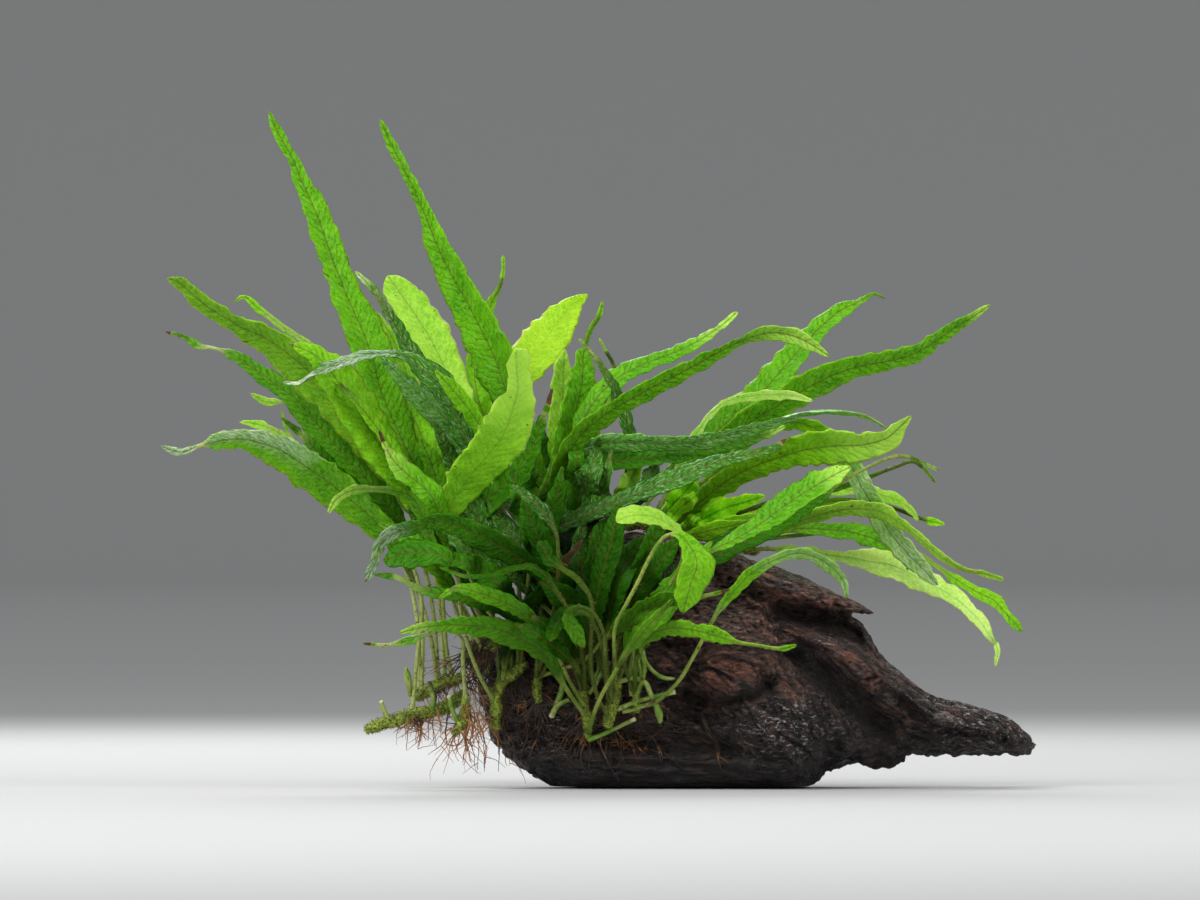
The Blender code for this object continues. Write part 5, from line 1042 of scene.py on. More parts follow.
# Name, rhizome, look, how far it is turned out of the front view, depth halfway and at the tip, and line.
BETWEEN = [
    ("thin_high", "left_crown", "bright", 1.2, -4, -10,
     [(-162.9, 169, 1), (-160, 171.2, 1.5), (-155, 167.5, 2.5), (-151, 164.5, 3), (-146.5, 160.8, 3),
      (-141, 157.5, 3), (-125, 143, 4), (-110, 122, 4), (-97, 95, 3), (-86, 70, 1.8), (-78.5, 47, 1.8)]),
    ("curl_left", "left_high", "lime", 1.3, 2, 12,
     [(-157.5, 137.5, 1), (-152.5, 134.5, 3), (-146, 134.5, 1.5), (-138, 136, 2.5), (-131, 134.3, 3),
      (-123, 129, 4), (-115, 122, 5), (-105, 108, 5), (-97, 90, 3), (-92, 70, 1.8), (-90, 50, 1.8),
      (-89, 37, 1.8)]),
    ("tip_left", "left_high", "lime", 1.2, -20, -30,
     [(-160.5, 127.3, 1), (-156, 126.8, 2.5), (-150, 125, 3), (-140, 118, 4), (-128, 108, 4),
      (-115, 96, 4), (-104, 82, 3), (-98, 66, 1.8), (-97, 46, 1.8), (-97.5, 33, 1.8)]),
    ("spike_left", "left_high", "bright", 1.2, -24, -26,
     [(-146, 131.5, 0.8), (-145, 127.4, 1), (-143.7, 124, 1.2), (-142, 121.8, 1.5), (-135, 114, 4),
      (-125, 103, 4), (-113, 92, 3), (-103, 76, 1.8), (-99, 60, 1.8), (-98, 34, 1.8)]),
    ("pale_narrow", "crest", "bright", 1.2, -38, -60,
     [(-92.2, 145.2, 0.8), (-86.3, 138.6, 5), (-79.3, 129.8, 5), (-76, 124, 5), (-71, 112, 4),
      (-63, 98, 3), (-56, 86, 1.8), (-53, 76, 1.8)]),
    ("lime_behind_left", "crest", "lime", 1.2, 6, 18,
     [(-113.4, 166, 0.8), (-108, 157, 4), (-103, 145, 6), (-99.5, 134, 8), (-94, 125, 8), (-89, 117, 6),
      (-78, 103, 4), (-64, 90, 2), (-54, 78, 1.8)]),
    ("tail_behind", "crest", "bright", 1.2, 18, 34,
     [(-69, 186, 1.5), (-69, 181, 1), (-70.5, 175, 2.5), (-73, 170, 3.5), (-77, 155, 5), (-79, 145, 7),
      (-77.5, 135, 7.5), (-74, 125, 7), (-66, 110, 5), (-55, 95, 2), (-46, 86, 1.8)]),
    ("needle_middle", "crest", "bright", 1.2, 12, 18,
     [(-34, 170, 0.8), (-35.5, 164.5, 2.5), (-38.5, 159.5, 3), (-40.3, 154, 2.5), (-40, 140, 4),
      (-39, 125, 4), (-37, 108, 3), (-34, 92, 1.8)]),
    ("lime_behind_torn", "crest", "lime", 1.2, 8, 14,
     [(-47.5, 153, 1), (-48, 147, 5), (-48, 140, 8), (-49, 128, 9), (-50, 115, 8), (-46, 100, 4),
      (-38, 88, 1.8)]),
    ("pale_spur", "crest", "lime", 1.2, -4, -2,
     [(-35.2, 156.6, 0.8), (-32.5, 151.5, 1), (-30.5, 148, 2), (-30, 144, 3), (-32, 137, 4),
      (-36, 128, 4), (-37, 112, 4), (-33, 99, 2.5), (-29, 90, 1.8)]),
    ("under_glossy", "crest", "shade", -1.3, -14, -12,
     [(30, 126, 1), (22, 122.5, 3), (12, 119.5, 3.5), (0, 117, 4), (-15, 115, 6), (-30, 113.5, 6.5),
      (-46, 111.5, 5), (-53, 102, 3), (-56, 92, 1.8), (-55, 78, 1.8)]),
    ("lime_low_middle", "back", "lit", 1.2, 8, 8,
     [(23, 101.5, 1), (16, 99.5, 6), (8, 97, 8), (0, 93, 6), (-7, 90, 3), (-12, 89, 1.8)]),
    ("hook_right", "back", "mid", 1.3, 4, 4,
     [(82.5, 106, 0.8), (79.5, 110, 1.2), (75, 113.5, 1.2), (68, 111.5, 1.3), (60, 108.5, 2.5),
      (55, 106.5, 2.7), (42, 103, 3), (25, 99, 3), (10, 94, 1.8), (0, 89, 1.8)]),
    ("tail_right", "back", "lit", 1.2, 20, 22,
     [(86.2, 91.5, 0.8), (81, 92.7, 3), (76.5, 94, 1), (70, 96.5, 1.8), (65, 98, 2), (50, 100, 3),
      (32, 97, 3), (15, 92, 2), (4, 87, 1.8)]),
    ("under_right", "back", "mid", -1.2, 4, 2,
     [(74, 79, 1), (68, 83, 4), (60, 86.7, 6), (52, 89, 6.5), (44, 89.7, 5), (36, 90, 3.5), (24, 88, 2),
      (12, 85, 1.8)]),
    ("lime_over_long", "wood_centre", "mid", -1.2, -44, -38,
     [(52.5, 111.8, 1), (46, 108.6, 6.5), (38, 104, 9), (29, 98.2, 9), (20.5, 91.8, 7), (12, 86.6, 4.5),
      (3, 82, 2.5), (-8, 74.5, 1.8), (-18, 62.5, 1.8), (-26, 47, 1.8), (-31, 35, 1.8)]),
    ("blade_middle_right", "back", "lit", 1.2, 4, 0,
     [(2, 104, 1), (-3, 100.5, 4), (-8, 96.5, 5), (-11, 92.5, 3), (-13, 89, 1.8)]),
    ("blade_right_second", "back", "lit", -1.2, 4, -2,
     [(12, 106.5, 1), (5, 101.5, 5), (-1, 96.5, 5), (-5, 92, 4), (-8, 88.5, 1.8)]),
    ("band_low_right", "back", "lit", 1.2, -2, -8,
     [(22, 94, 1), (14, 92, 3), (5, 90, 4.5), (-3, 88, 3), (-9, 87, 1.8)]),
    ("pale_low", "wood_middle", "mid", 1.2, -54, -58,
     [(-91, 66, 0.8), (-85, 69.5, 3), (-77, 68, 5), (-69, 65, 6), (-62, 61.5, 5), (-57, 57.5, 3),
      (-51, 52, 1.8), (-45, 44, 1.8), (-41, 34, 1.8)]),
    ("dark_middle_1", "crest", "shade", 1.2, -22, -20,
     [(-44, 124, 1), (-43, 112, 7), (-43, 100, 8), (-45, 88, 6), (-50, 80, 3), (-53, 75, 1.8)]),
    ("dark_middle_2", "crest", "deep", -1.2, -26, -24,
     [(-31, 118, 1), (-33, 108, 5), (-35, 100, 6), (-38, 92, 4), (-41, 85, 1.8)]),
    ("lime_middle", "crest", "lime", 1.2, -8, -8,
     [(-20, 118, 1), (-23, 110, 5), (-27, 102, 6), (-30, 95, 4), (-33, 89, 1.8)]),
    ("dark_low_1", "wood_middle", "shade", 1.2, -44, -50,
     [(-62, 104, 1), (-60, 96, 6), (-56, 86, 9), (-50, 74, 9), (-44, 62, 6), (-40, 50, 2),
      (-40.5, 36, 1.8)]),
    ("dark_low_2", "wood_centre", "shade", -1.2, -46, -46,
     [(-28, 100, 1), (-30, 90, 7), (-33, 78, 9), (-36, 66, 7), (-36, 52, 3), (-33, 38, 1.8),
      (-31.5, 27, 1.8)]),
    ("dark_low_3", "wood_centre", "shade", 1.2, -44, -40,
     [(-12, 98, 1), (-16, 88, 6), (-20, 76, 8), (-24, 64, 7), (-27, 50, 3), (-29, 38, 1.8)]),
    ("dark_low_4", "left_fork", "shade", 1.2, -40, -44,
     [(-48, 112, 1), (-50, 102, 6), (-54, 90, 8), (-57, 78, 6), (-60, 66, 3), (-62, 52, 1.8),
      (-62.5, 42, 1.8)]),
    ("dark_low_5", "left_fork", "deep", -1.2, -34, -36,
     [(-84, 110, 1), (-80, 100, 7), (-75, 88, 9), (-70, 76, 8), (-67, 62, 4), (-66, 50, 1.8),
      (-66, 40, 1.8)]),
    ("dark_low_6", "wood_right", "mid", -1.2, -50, -52,
     [(4, 86, 1), (-4, 77, 6), (-12, 67, 8), (-19, 55, 6), (-22.5, 44, 2), (-22.8, 33, 1.8)]),
    ("dark_low_7", "wood_left", "deep", 1.2, -38, -40,
     [(-74, 100, 1), (-68, 91, 7), (-61, 81, 9), (-55, 70, 8), (-51, 58, 4), (-52, 46, 2),
      (-56.2, 38, 1.8)]),
    ("dark_low_8", "left_fork", "deep", 1.2, -30, -34,
     [(-102, 98, 1), (-95, 91, 7), (-88, 83, 9), (-80, 73, 8), (-74, 60, 4), (-71, 48, 1.8),
      (-70, 36, 1.8)]),
    ("dark_high_1", "crest", "deep", -1.2, -24, -26,
     [(-35, 122, 1), (-38, 111, 7), (-42, 99, 9), (-47, 88, 8), (-53, 79, 4), (-57, 72, 1.8)]),
    ("dark_high_2", "crest", "shade", 1.2, -6, -4,
     [(-56, 130, 1), (-57, 119, 7), (-58, 108, 9), (-57, 96, 7), (-55, 85, 3), (-54, 75, 1.8)]),
    ("dark_high_3", "crest", "deep", 1.2, -12, -12,
     [(-14, 116, 1), (-18, 107, 6), (-24, 99, 6), (-30, 92, 2), (-34, 88, 1.8)]),
    ("dark_high_4", "crest", "deep", -1.2, -14, -18,
     [(-89, 124, 1), (-85, 114, 7), (-78, 101, 9), (-70, 90, 7), (-63, 82, 3), (-59, 73, 1.8)]),
    ("before_crest", "wood_centre", "shade", 1.2, -42, -32,
     [(-31, 95, 1), (-33, 91, 6), (-35.5, 86, 7.5), (-37.5, 80, 5.5), (-38.8, 73, 4), (-38.5, 64, 3),
      (-37, 54, 1.8), (-33.5, 40, 1.8)]),
    ("behind_stalk", "wood_centre", "shade", -1.2, -46, -40,
     [(-17, 88.5, 1), (-23.5, 82, 7), (-28, 74, 9.5), (-30.5, 66, 8), (-32, 58, 4), (-33, 48, 1.8),
      (-31.5, 37, 1.8)]),
    ("fan_upper", "wood_centre", "shade", 1.2, -46, -42,
     [(-6, 89, 1), (-12, 82, 6), (-18, 74.5, 7.5), (-22.5, 66, 6.5), (-26, 58, 4), (-29, 50, 2),
      (-30, 38, 1.8)]),
    ("fan_middle", "wood_right", "mid", -1.3, -58, -58,
     [(-3, 73, 1), (-9, 68.5, 4.5), (-15, 64, 6), (-21, 58.5, 5.5), (-25, 52, 3.5), (-26.5, 45, 1.8),
      (-23.5, 34, 1.8)]),
    ("fan_pale", "wood_centre", "olive", 1.3, -67, -66,
     [(-9.5, 66, 1), (-14, 61.5, 3), (-19, 56, 4), (-23, 51, 3.2), (-26.5, 46, 2.4), (-30, 40, 1.8),
      (-31.5, 33, 1.8)]),
    ("upright_low", "wood_centre", "deep", 1.2, -38, -34,
     [(-40, 93, 1), (-42, 86, 5.5), (-42, 78, 7), (-40.5, 70, 5.5), (-38.5, 60, 3), (-36.5, 48, 1.8),
      (-32, 36, 1.8)]),
    ("silver_narrow", "wood_left", "deep", 1.3, -54, -60,
     [(-65.5, 105.5, 1), (-61, 102, 3.5), (-57, 98.5, 4.5), (-53.5, 94.5, 4), (-50.5, 89.5, 2.2),
      (-49.5, 80, 1.8), (-50.5, 66, 1.8), (-53, 52, 1.8), (-56.5, 40, 1.8)]),
    ("left_of_centre", "left_fork", "shade", 1.2, -44, -45,
     [(-66, 112, 1), (-64.5, 106, 5), (-62.5, 99, 7.5), (-60, 91, 6.5), (-59, 83, 3.5), (-60, 72, 1.8),
      (-61.5, 58, 1.8), (-63, 44, 1.8)]),
    ("bright_narrow", "wood_left", "dusky", 1.2, -40, -40,
     [(-52, 112, 1), (-54, 106, 3), (-56, 99, 3.5), (-57.5, 91, 2.5), (-57, 80, 1.8), (-55.5, 64, 1.8),
      (-56, 50, 1.8), (-57, 40, 1.8)]),
    ("folded_low", "wood_middle", "shade", 1.2, -60, -60,
     [(-65, 57.5, 1), (-60, 55.5, 4.5), (-54, 51.5, 5.5), (-48, 47, 4.5), (-43.5, 43, 2.5),
      (-40.5, 36, 1.8)]),
    ("folded_upper", "wood_middle", "shade", 1.2, -57, -56,
     [(-60, 61, 1), (-55, 57.5, 4.5), (-49, 52.5, 5), (-44, 46.5, 3.5), (-40.5, 38, 1.8)]),
    ("behind_lobed", "wood_middle", "shade", -1.2, -52, -50,
     [(-56, 72, 1), (-51, 69, 7), (-45, 65, 9), (-40.5, 58, 7), (-38.5, 50, 3), (-38.5, 37, 1.8)]),
    ("lobed_side", "wood_centre", "shade", 1.3, -60, -63,
     [(-52, 51.5, 2), (-51, 55, 5), (-48.5, 59, 6.5), (-44.5, 61.5, 4.5), (-40, 61, 3), (-36.5, 56, 2),
      (-33.5, 46, 1.8), (-31.5, 34, 1.8)]),
    ("edge_on", "wood_middle", "shade", 1.4, -68, -66,
     [(-90.5, 77, 0.8, 2), (-82, 74, 1.5, 4), (-74, 74.2, 1.5, 6), (-66, 76.2, 2, 6), (-59, 77, 2.6, 6),
      (-54, 74, 3, 5), (-49, 67, 2.4, 3), (-44, 58, 1.8), (-41, 46, 1.8), (-40, 34, 1.8)]),
    ("under_folded", "left_fork", "shade", 1.2, -46, -50,
     [(-92, 83, 1), (-85, 79.5, 5), (-77, 76, 7.5), (-70, 71, 7.5), (-65.5, 63, 4.5), (-64, 54, 1.8),
      (-63.5, 43, 1.8)]),
    ("right_of_centre", "back", "lit", 1.2, 2, 2,
     [(24, 96, 1), (16, 93.5, 4), (8, 91, 6), (0, 88.5, 5), (-6, 87.5, 2.5), (-11, 88, 1.8)]),
    ("short_behind", "back", "lit", 1.2, 6, 2,
     [(0, 109, 1), (-4, 104.5, 6), (-9, 99, 7), (-14, 94, 4), (-18, 90, 1.8)]),
    ("low_stalk_leaf", "wood_left", "shade", 1.2, -40, -42,
     [(-76, 68, 1), (-70, 65, 5), (-64, 60, 6), (-59, 53, 4.5), (-57, 46, 2), (-57, 39, 1.8)]),
    ("behind_glossy", "crest", "bright", 1.2, -2, 4,
     [(-104, 136, 1), (-99, 126, 8), (-94, 115, 11), (-88, 104, 9), (-80, 92, 5), (-70, 82, 1.8),
      (-59, 73, 1.8)]),
    ("behind_broad", "left_crown", "mid", 1.2, -14, -8,
     [(-98, 122, 1), (-94, 113, 7), (-91, 103, 9), (-88, 91, 7), (-83, 78, 3), (-77, 62, 1.8),
      (-72, 50, 1.8)]),
    ("behind_twisted", "crest", "pale", 1.2, 0, 4,
     [(-30.5, 142, 1), (-33.5, 136.5, 4.5), (-37, 130, 5.5), (-40, 121, 4.5), (-41.5, 107, 3),
      (-37, 91, 1.8)]),
    ("before_glossy", "left_crown", "bright", 1.3, -36, -44,
     [(-131, 146, 0.8), (-124, 139, 2.5), (-117, 131, 3.5), (-110, 122, 4), (-104, 113, 4), (-97, 101, 3.5),
      (-90, 86, 2.5), (-82, 68, 1.8), (-74, 50, 1.8)]),
    ("dark_tongue", "left_crown", "deep", 1.2, -30, -36,
     [(-93, 128, 1), (-91, 123, 3), (-88.5, 117, 4), (-86, 110, 5), (-84, 100, 5), (-82, 86, 3),
      (-78, 68, 1.8), (-71, 50, 1.8)]),
    ("between_left", "left_high", "shade", 1.2, -24, -34,
     [(-146, 129, 0.8), (-137, 121, 3.5), (-128, 111, 5), (-119, 101, 6), (-110, 89, 5), (-102, 76, 3),
      (-96, 60, 1.8), (-93, 46, 1.8), (-92, 36, 1.8)]),
    ("left_under", "left_crown", "mid", 1.2, -40, -46,
     [(-112, 92, 1), (-105, 89, 5), (-98, 84, 7), (-91, 76, 6), (-85, 66, 3), (-79, 54, 1.8),
      (-75, 46, 1.8)]),
]


def eased(line, turn, depth):
    """The knots' depths, moved step by step away from the leaves in place and from the wood."""
    standing = np.vstack(placed)
    knots = smooth_line(line, FROND_KNOTS)
    full, across = across_blade(knots, turn)
    low, high = knots[:, :2].min(axis=0) - NEARBY, knots[:, :2].max(axis=0) + NEARBY
    near = ((standing[:, [0, 2]] > low) & (standing[:, [0, 2]] < high)).all(axis=1)
    tree = kdtree.KDTree(near.sum())
    for k, point in enumerate(standing[near]):
        tree.insert(point, k)
    tree.balance()
    depth = np.array(depth, float)
    foot = depth[-1]
    for _ in range(EASING_ROUNDS):
        push = np.zeros(FROND_KNOTS)
        for k in range(FROND_KNOTS - 1):
            for t in (0, 0.25, 0.5, 0.75):
                x, z = knots[k, :2] * (1 - t) + knots[k + 1, :2] * t
                y = depth[k] * (1 - t) + depth[k + 1] * t
                reach = full[k] * (1 - t) + full[k + 1] * t
                for u in ((0,) if reach < NARROW else (-0.5, -0.25, 0, 0.25, 0.5)):
                    point = Vector((x, y, z)) + Vector(across[k]) * float(u * reach)
                    weight = 1 - abs(t - 0.5)
                    for other, _, away in tree.find_range(point, CLEAR):
                        shove = math.copysign(CLEAR - away, point.y - other.y) * weight
                        if abs(shove) > abs(push[k]):
                            push[k] = shove
                    face = wood_face(point.x, point.z)
                    if face is None or k >= FROND_KNOTS - 2 or foot >= 0:
                        continue
                    if point.y > face - CLEAR_OF_WOOD:
                        push[k] = min(push[k], face - CLEAR_OF_WOOD - point.y)
        push[1:-1] = 0.5 * push[1:-1] + 0.25 * (push[:-2] + push[2:])
        depth[:-1] += EASING_SHARE * push[:-1]
        depth[-1] = foot
    return depth


for name, rhizome, look, turn, middle, tip, line in BETWEEN:
    line = with_full_width(line, turn)
    foot = foot_depth(rhizome, *line[-1][:2])
    t = np.linspace(0, 1, FROND_KNOTS)
    depth = tip * (1 - t) * (1 - 2 * t) + middle * 4 * t * (1 - t) + foot * t * (2 * t - 1)
    leaf(name, look, turn, line, eased(line, turn, depth), line[-1][0] > DIM_FROM_X)


# --- cut stalks, hooks and a bud ---
# Stalks that were cut off short, young hooked ones and a bud, all round and green. Each grows from a rhizome
# and stands a little off the wood; a cut one ends in a pale flat face, a dead one is brown.

SHOOT_SIDES, SHOOT_STEP = 12, 0.7
BEHIND_FOOT = 4          # a shoot stands no further back than this behind its foot
PALE_CUT, BROWN_END, GREEN_END = (1, 0), (0, 1), (0, 0)

# Name, rhizome, how it ends, and its line from its foot: x, z, thickness, how far it stands off the wood.
SHOOTS = [
    ("stub_low", "wood_middle", PALE_CUT,
     [(-39, 16.7, 1.9, 2), (-34, 18.6, 1.7, 3), (-29.6, 20.7, 1.5, 4), (-22.9, 24, 1.5, 5)]),
    ("stub_right", "wood_centre", PALE_CUT,
     [(-28.9, 27.4, 1.9, 2), (-22.2, 30, 1.7, 4), (-17.5, 31.4, 1.6, 5), (-8.8, 33.5, 1.7, 6)]),
    ("stub_right_small", "wood_centre", BROWN_END,
     [(-27, 26.4, 1.4, 3), (-21, 28, 1.3, 5), (-16, 30.5, 1.2, 7)]),
    ("stub_middle", "wood_middle", PALE_CUT,
     [(-39, 32.8, 1.8, 2), (-36.5, 36, 1.6, 4), (-34.9, 39, 1.5, 5), (-31.6, 44, 1.4, 7)]),
    ("hook_green", "wood_centre", GREEN_END,
     [(-32.6, 35, 1.7, 2), (-30, 36.2, 1.6, 5), (-27, 37.4, 1.6, 7), (-22.5, 38.2, 1.7, 8),
      (-19, 36.4, 1.8, 7), (-17.5, 33, 1.8, 6), (-15.5, 28.8, 2.0, 5), (-14.4, 25.4, 2.6, 4),
      (-14, 22.6, 1.2, 4)]),
    ("hook_mossy", "wood_right", GREEN_END,
     [(-22.6, 34, 1.5, 2), (-21.8, 43, 1.3, 4), (-20.3, 49, 1.3, 5), (-19.4, 45, 1.3, 6),
      (-17.2, 41.4, 1.4, 5), (-13.5, 38.6, 1.5, 4), (-9, 38, 1.1, 3)]),
    ("stalk_short_left", "wood_right", BROWN_END,
     [(-24, 32, 1.6, 2), (-24.6, 40, 1.4, 4), (-24, 49, 1.2, 6)]),
    ("stalk_short_right", "wood_right", BROWN_END,
     [(-21.5, 33, 1.5, 2), (-21, 40, 1.3, 4), (-22.4, 48.5, 1.0, 7)]),
    ("stalk_short_middle", "wood_middle", BROWN_END,
     [(-38, 36, 1.6, 2), (-35.4, 42, 1.4, 4), (-37, 48, 1.2, 5)]),
    ("knob_shoot", "left_fork", BROWN_END,
     [(-68.4, 42, 2.0, 0), (-69.4, 46.5, 1.8, 0), (-71.4, 51, 1.3, 0)]),
    ("mossy_knob", "left_crown", BROWN_END,
     [(-74, 46, 3.0, 0), (-74.6, 43, 4.2, 1), (-75, 40, 3.4, 2)]),
    ("mossy_knob_right", "left_crown", BROWN_END,
     [(-70, 46, 2.6, 0), (-69, 43.6, 3.2, 1), (-68.6, 41, 2.0, 1)]),
    ("little_stem", "wood_left", PALE_CUT,
     [(-48.4, 41, 2.4, 2.2), (-47.9, 36, 2.2, 1.8), (-49.6, 30, 2.3, 1.6), (-52, 24.6, 2.0, 1.4)]),
    ("little_stem_side", "wood_left", PALE_CUT,
     [(-50.4, 28, 1.8, 1.8), (-48.6, 29.4, 1.6, 2.6), (-46, 30.6, 1.4, 3.2)]),
    ("bud", "left_low", GREEN_END,
     [(-101.2, 32, 1.8, 2), (-101.7, 36, 2.2, 2.4), (-102.2, 39, 2.6, 2.8), (-102.6, 41.6, 1.0, 3)]),
    ("stub_left_end", "left_low", PALE_CUT,
     [(-108, 22, 2.2, 0), (-110, 26, 1.7, 1.5), (-111.4, 30, 1.5, 2.5)]),
    ("stub_left", "left_low", BROWN_END,
     [(-94, 25, 1.9, 0), (-93.2, 31, 1.6, 1.5), (-94.6, 37, 1.3, 3)]),
    ("stub_hook", "left_hook", PALE_CUT,
     [(-84, 22, 2.0, 0), (-86.4, 27, 1.6, 2), (-87.6, 32, 1.5, 3.5)]),
]

young = new_material("young shoot", (0.2, 0.34, 0.03), 0.45)
n = Nodes(young)
pale_end, brown_end, _ = n.painted("end")
patch = n.speckle(150)
scale = n.speckle(800)
green = n.mix(n.ramp(patch, 0.40, 0.60), (0.31, 0.39, 0.085, 1), (0.11, 0.26, 0.012, 1))
green = n.mix(n.ramp(scale, 0.58, 0.64, 0.0, 0.8), green, (0.085, 0.05, 0.016, 1))
green = n.mix(pale_end, green, (0.50, 0.50, 0.24, 1))
green = n.mix(brown_end, green, (0.06, 0.032, 0.014, 1))
n.finish(Base_Color=green)
n.bump(scale, 0.5, 0.0003)


def round_piece(name, rows, sides):
    """A closed round piece through the rows x, y, z, thickness, and how far along it each point is."""
    length = sum(math.dist(a[:3], b[:3]) for a, b in zip(rows, rows[1:]))
    rings = max(6, round(length / SHOOT_STEP))
    knots = smooth_line(rows, rings, plane=3)
    heading = unit(np.gradient(knots[:, :3], axis=0))
    across = unit(np.cross(heading, (0.05, -1, 0.1)))
    deep = np.cross(heading, across)
    made, ring, side = sleeve(name, rings, sides)
    angle = side / sides * 2 * math.pi
    reach = knots[ring, 3:4] / 2
    out = across[ring] * np.cos(angle)[:, None] + deep[ring] * np.sin(angle)[:, None]
    set_points(made.data, knots[ring, :3] + reach * out)
    face_outward()
    return made, ring / (rings - 1)


for name, rhizome, (pale, brown), line in SHOOTS:
    foot = foot_depth(rhizome, *line[0][:2])
    rows = [(line[0][0], foot, line[0][1], line[0][2])]
    for x, z, thick, off in line[1:]:
        face = wood_face(x, z)
        behind = foot if face is None else min(face, foot + BEHIND_FOOT)
        rows.append((x, behind - off, z, thick))
    made, along = round_piece(name, rows, SHOOT_SIDES)
    cut_face, upper_part = smooth_step((along - 0.90) / 0.08), smooth_step((along - 0.6) / 0.4)
    paint(made.data, "end", (cut_face * pale, upper_part * brown, np.zeros(len(along))))
    made.data.materials.append(young)
    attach(made, "root")


# --- roots ---
# Wiry brown roots, a few tenths of a millimetre thick, with finer side roots. They grow out of the rhizomes,
# hang free under the left end in a tangle, and creep over the wood's face, which they hold on to.

ROOT_HALF, SIDE_ROOT_HALF = 0.24, 0.13
ROOT_STEP = 1.1
ROOT_OFF = 0.5           # from the wood to a creeping root's middle
WOOD_IN_REACH = 14       # a root lies on the wood where that is no further behind it than this
LARGEST_DROP = 6         # a root ends where the wood under it falls away by more
WANDER, STRAIGHTEN = 0.14, 0.03          # how much a root's aim strays at a step, and how it rights itself
LOWEST_DRAWN, LOWEST_GROWN = 0.4, 0.6    # roots stop at these heights

# The roots that stand out, in x and z from where they leave a rhizome.
HANGING = [
    [(-92.5, 32), (-93.5, 24), (-93, 14)], [(-87.5, 26), (-89, 20), (-88.5, 14.5), (-83, 15)],
    [(-101, 22.5), (-105, 20.5)], [(-100, 24), (-98, 19), (-99.5, 15)], [(-96, 25), (-97, 19), (-94, 17)],
    [(-80, 24), (-82, 15), (-82.5, 8.5)], [(-80, 24), (-79, 17), (-81, 12)],
    [(-80, 24), (-80.5, 16), (-79, 9)], [(-79, 25), (-76, 15), (-77, 7)],
    [(-78, 26), (-75, 16), (-75, 7)], [(-77, 27), (-72, 17), (-72, 5.5)],
    [(-75, 28), (-71, 16), (-69.8, 3)], [(-72, 30), (-68, 18), (-67, 8.5)], [(-71, 30), (-68, 15), (-66, 7)],
    [(-68.5, 33), (-69, 20), (-66, 12), (-67, 8)], [(-85, 22), (-86, 14), (-84, 10)],
    [(-79, 44), (-73, 38), (-67, 34), (-62, 30)], [(-76, 47), (-70, 43), (-64, 41)],
    [(-80, 42), (-75, 33), (-68, 27)], [(-74, 43), (-70, 34), (-66, 24)], [(-82, 40), (-79, 32), (-73, 26)],
    [(-72, 45), (-68, 38), (-65, 30)], [(-78, 42), (-72, 35), (-67, 22)], [(-81, 44), (-78, 36), (-76, 27)],
    [(-84, 37), (-79, 33), (-72, 31), (-66, 32)], [(-83, 35), (-77, 38), (-70, 39), (-64, 36)],
]
CREEPING = [
    [(-41, 24), (-43, 21), (-47, 17), (-50, 12), (-57, 10)], [(-55, 22), (-59, 12), (-59, 2)],
    [(-57, 28.5), (-52, 29.5), (-45, 30.5), (-36, 31), (-30, 30)], [(-40, 16), (-41.5, 12), (-41, 7)],
    [(-30, 21), (-27, 17), (-22, 12.5)], [(-35, 15), (-27, 15.6), (-20, 17), (-12, 22), (-10, 29)],
    [(-17, 18), (-14.5, 12.5), (-14, 9)], [(0, 26), (3, 20), (6, 15), (6.5, 10), (8, 5)],
    [(-56, 26), (-53, 18), (-48, 11), (-44, 7)], [(-23, 28), (-17, 25), (-10, 21), (-3, 20)],
    [(-62, 26), (-60, 18), (-62, 10), (-58, 5)], [(-31, 22), (-35, 15), (-33, 9)],
    [(-40, 20), (-34, 22), (-27, 21), (-21, 23)], [(-48, 33), (-53, 37), (-57, 33)],
]
# Rhizome, how many smaller roots it has, and how long they are.
ROOTED = [("left_low", 30, 9), ("left_high", 18, 9), ("left_hook", 26, 12), ("left_fork", 60, 13),
          ("left_crown", 150, 18), ("wood_left", 40, 18), ("wood_middle", 34, 16), ("wood_centre", 34, 17),
          ("wood_right", 24, 15)]
ROOTLESS = -103          # left of this x the oldest stem has lost its roots

wiry = new_material("wiry root", (0.11, 0.05, 0.02), 0.55)
n = Nodes(wiry)
tint = n.speckle(170)
apart = n.parts(n.place())
tint = n.math("ADD", tint, n.ramp(apart["X"], -0.060, -0.080, -0.12, 0.06))
tint = n.math("ADD", tint, n.ramp(apart["Z"], 0.028, 0.038, 0.0, -0.12))
n.finish(Base_Color=n.mix(n.ramp(tint, 0.42, 0.62), (0.030, 0.016, 0.009, 1), (0.36, 0.155, 0.040, 1)))

chance = np.random.RandomState(11)
stem_points = np.vstack(list(rhizomes.values()))


def laid(path, free):
    """The path's points with their depth: over the wood where that is in front of where they would hang."""
    depths = []
    lean = chance.normal(0, 0.12)
    for k, (x, z) in enumerate(path):
        face = wood_face(x, z)
        hangs = free + lean * k
        depths.append(hangs if face is None or face > hangs + WOOD_IN_REACH else face - ROOT_OFF)
    over = [min(depths[max(0, k - 2):k + 3]) for k in range(len(depths))]
    return [(x, y, z) for (x, z), y in zip(path, over)]


def wavering(line, sway):
    """The line's points at even steps, swayed from side to side, down to the ground."""
    length = sum(math.dist(a, b) for a, b in zip(line, line[1:]))
    drawn = smooth_line(line, max(4, round(length / ROOT_STEP)))
    swayed = drawn + sway * np.cumsum(chance.normal(0, 0.3, drawn.shape), axis=0).clip(-2, 2)
    return swayed[swayed[:, 1] > LOWEST_DRAWN]


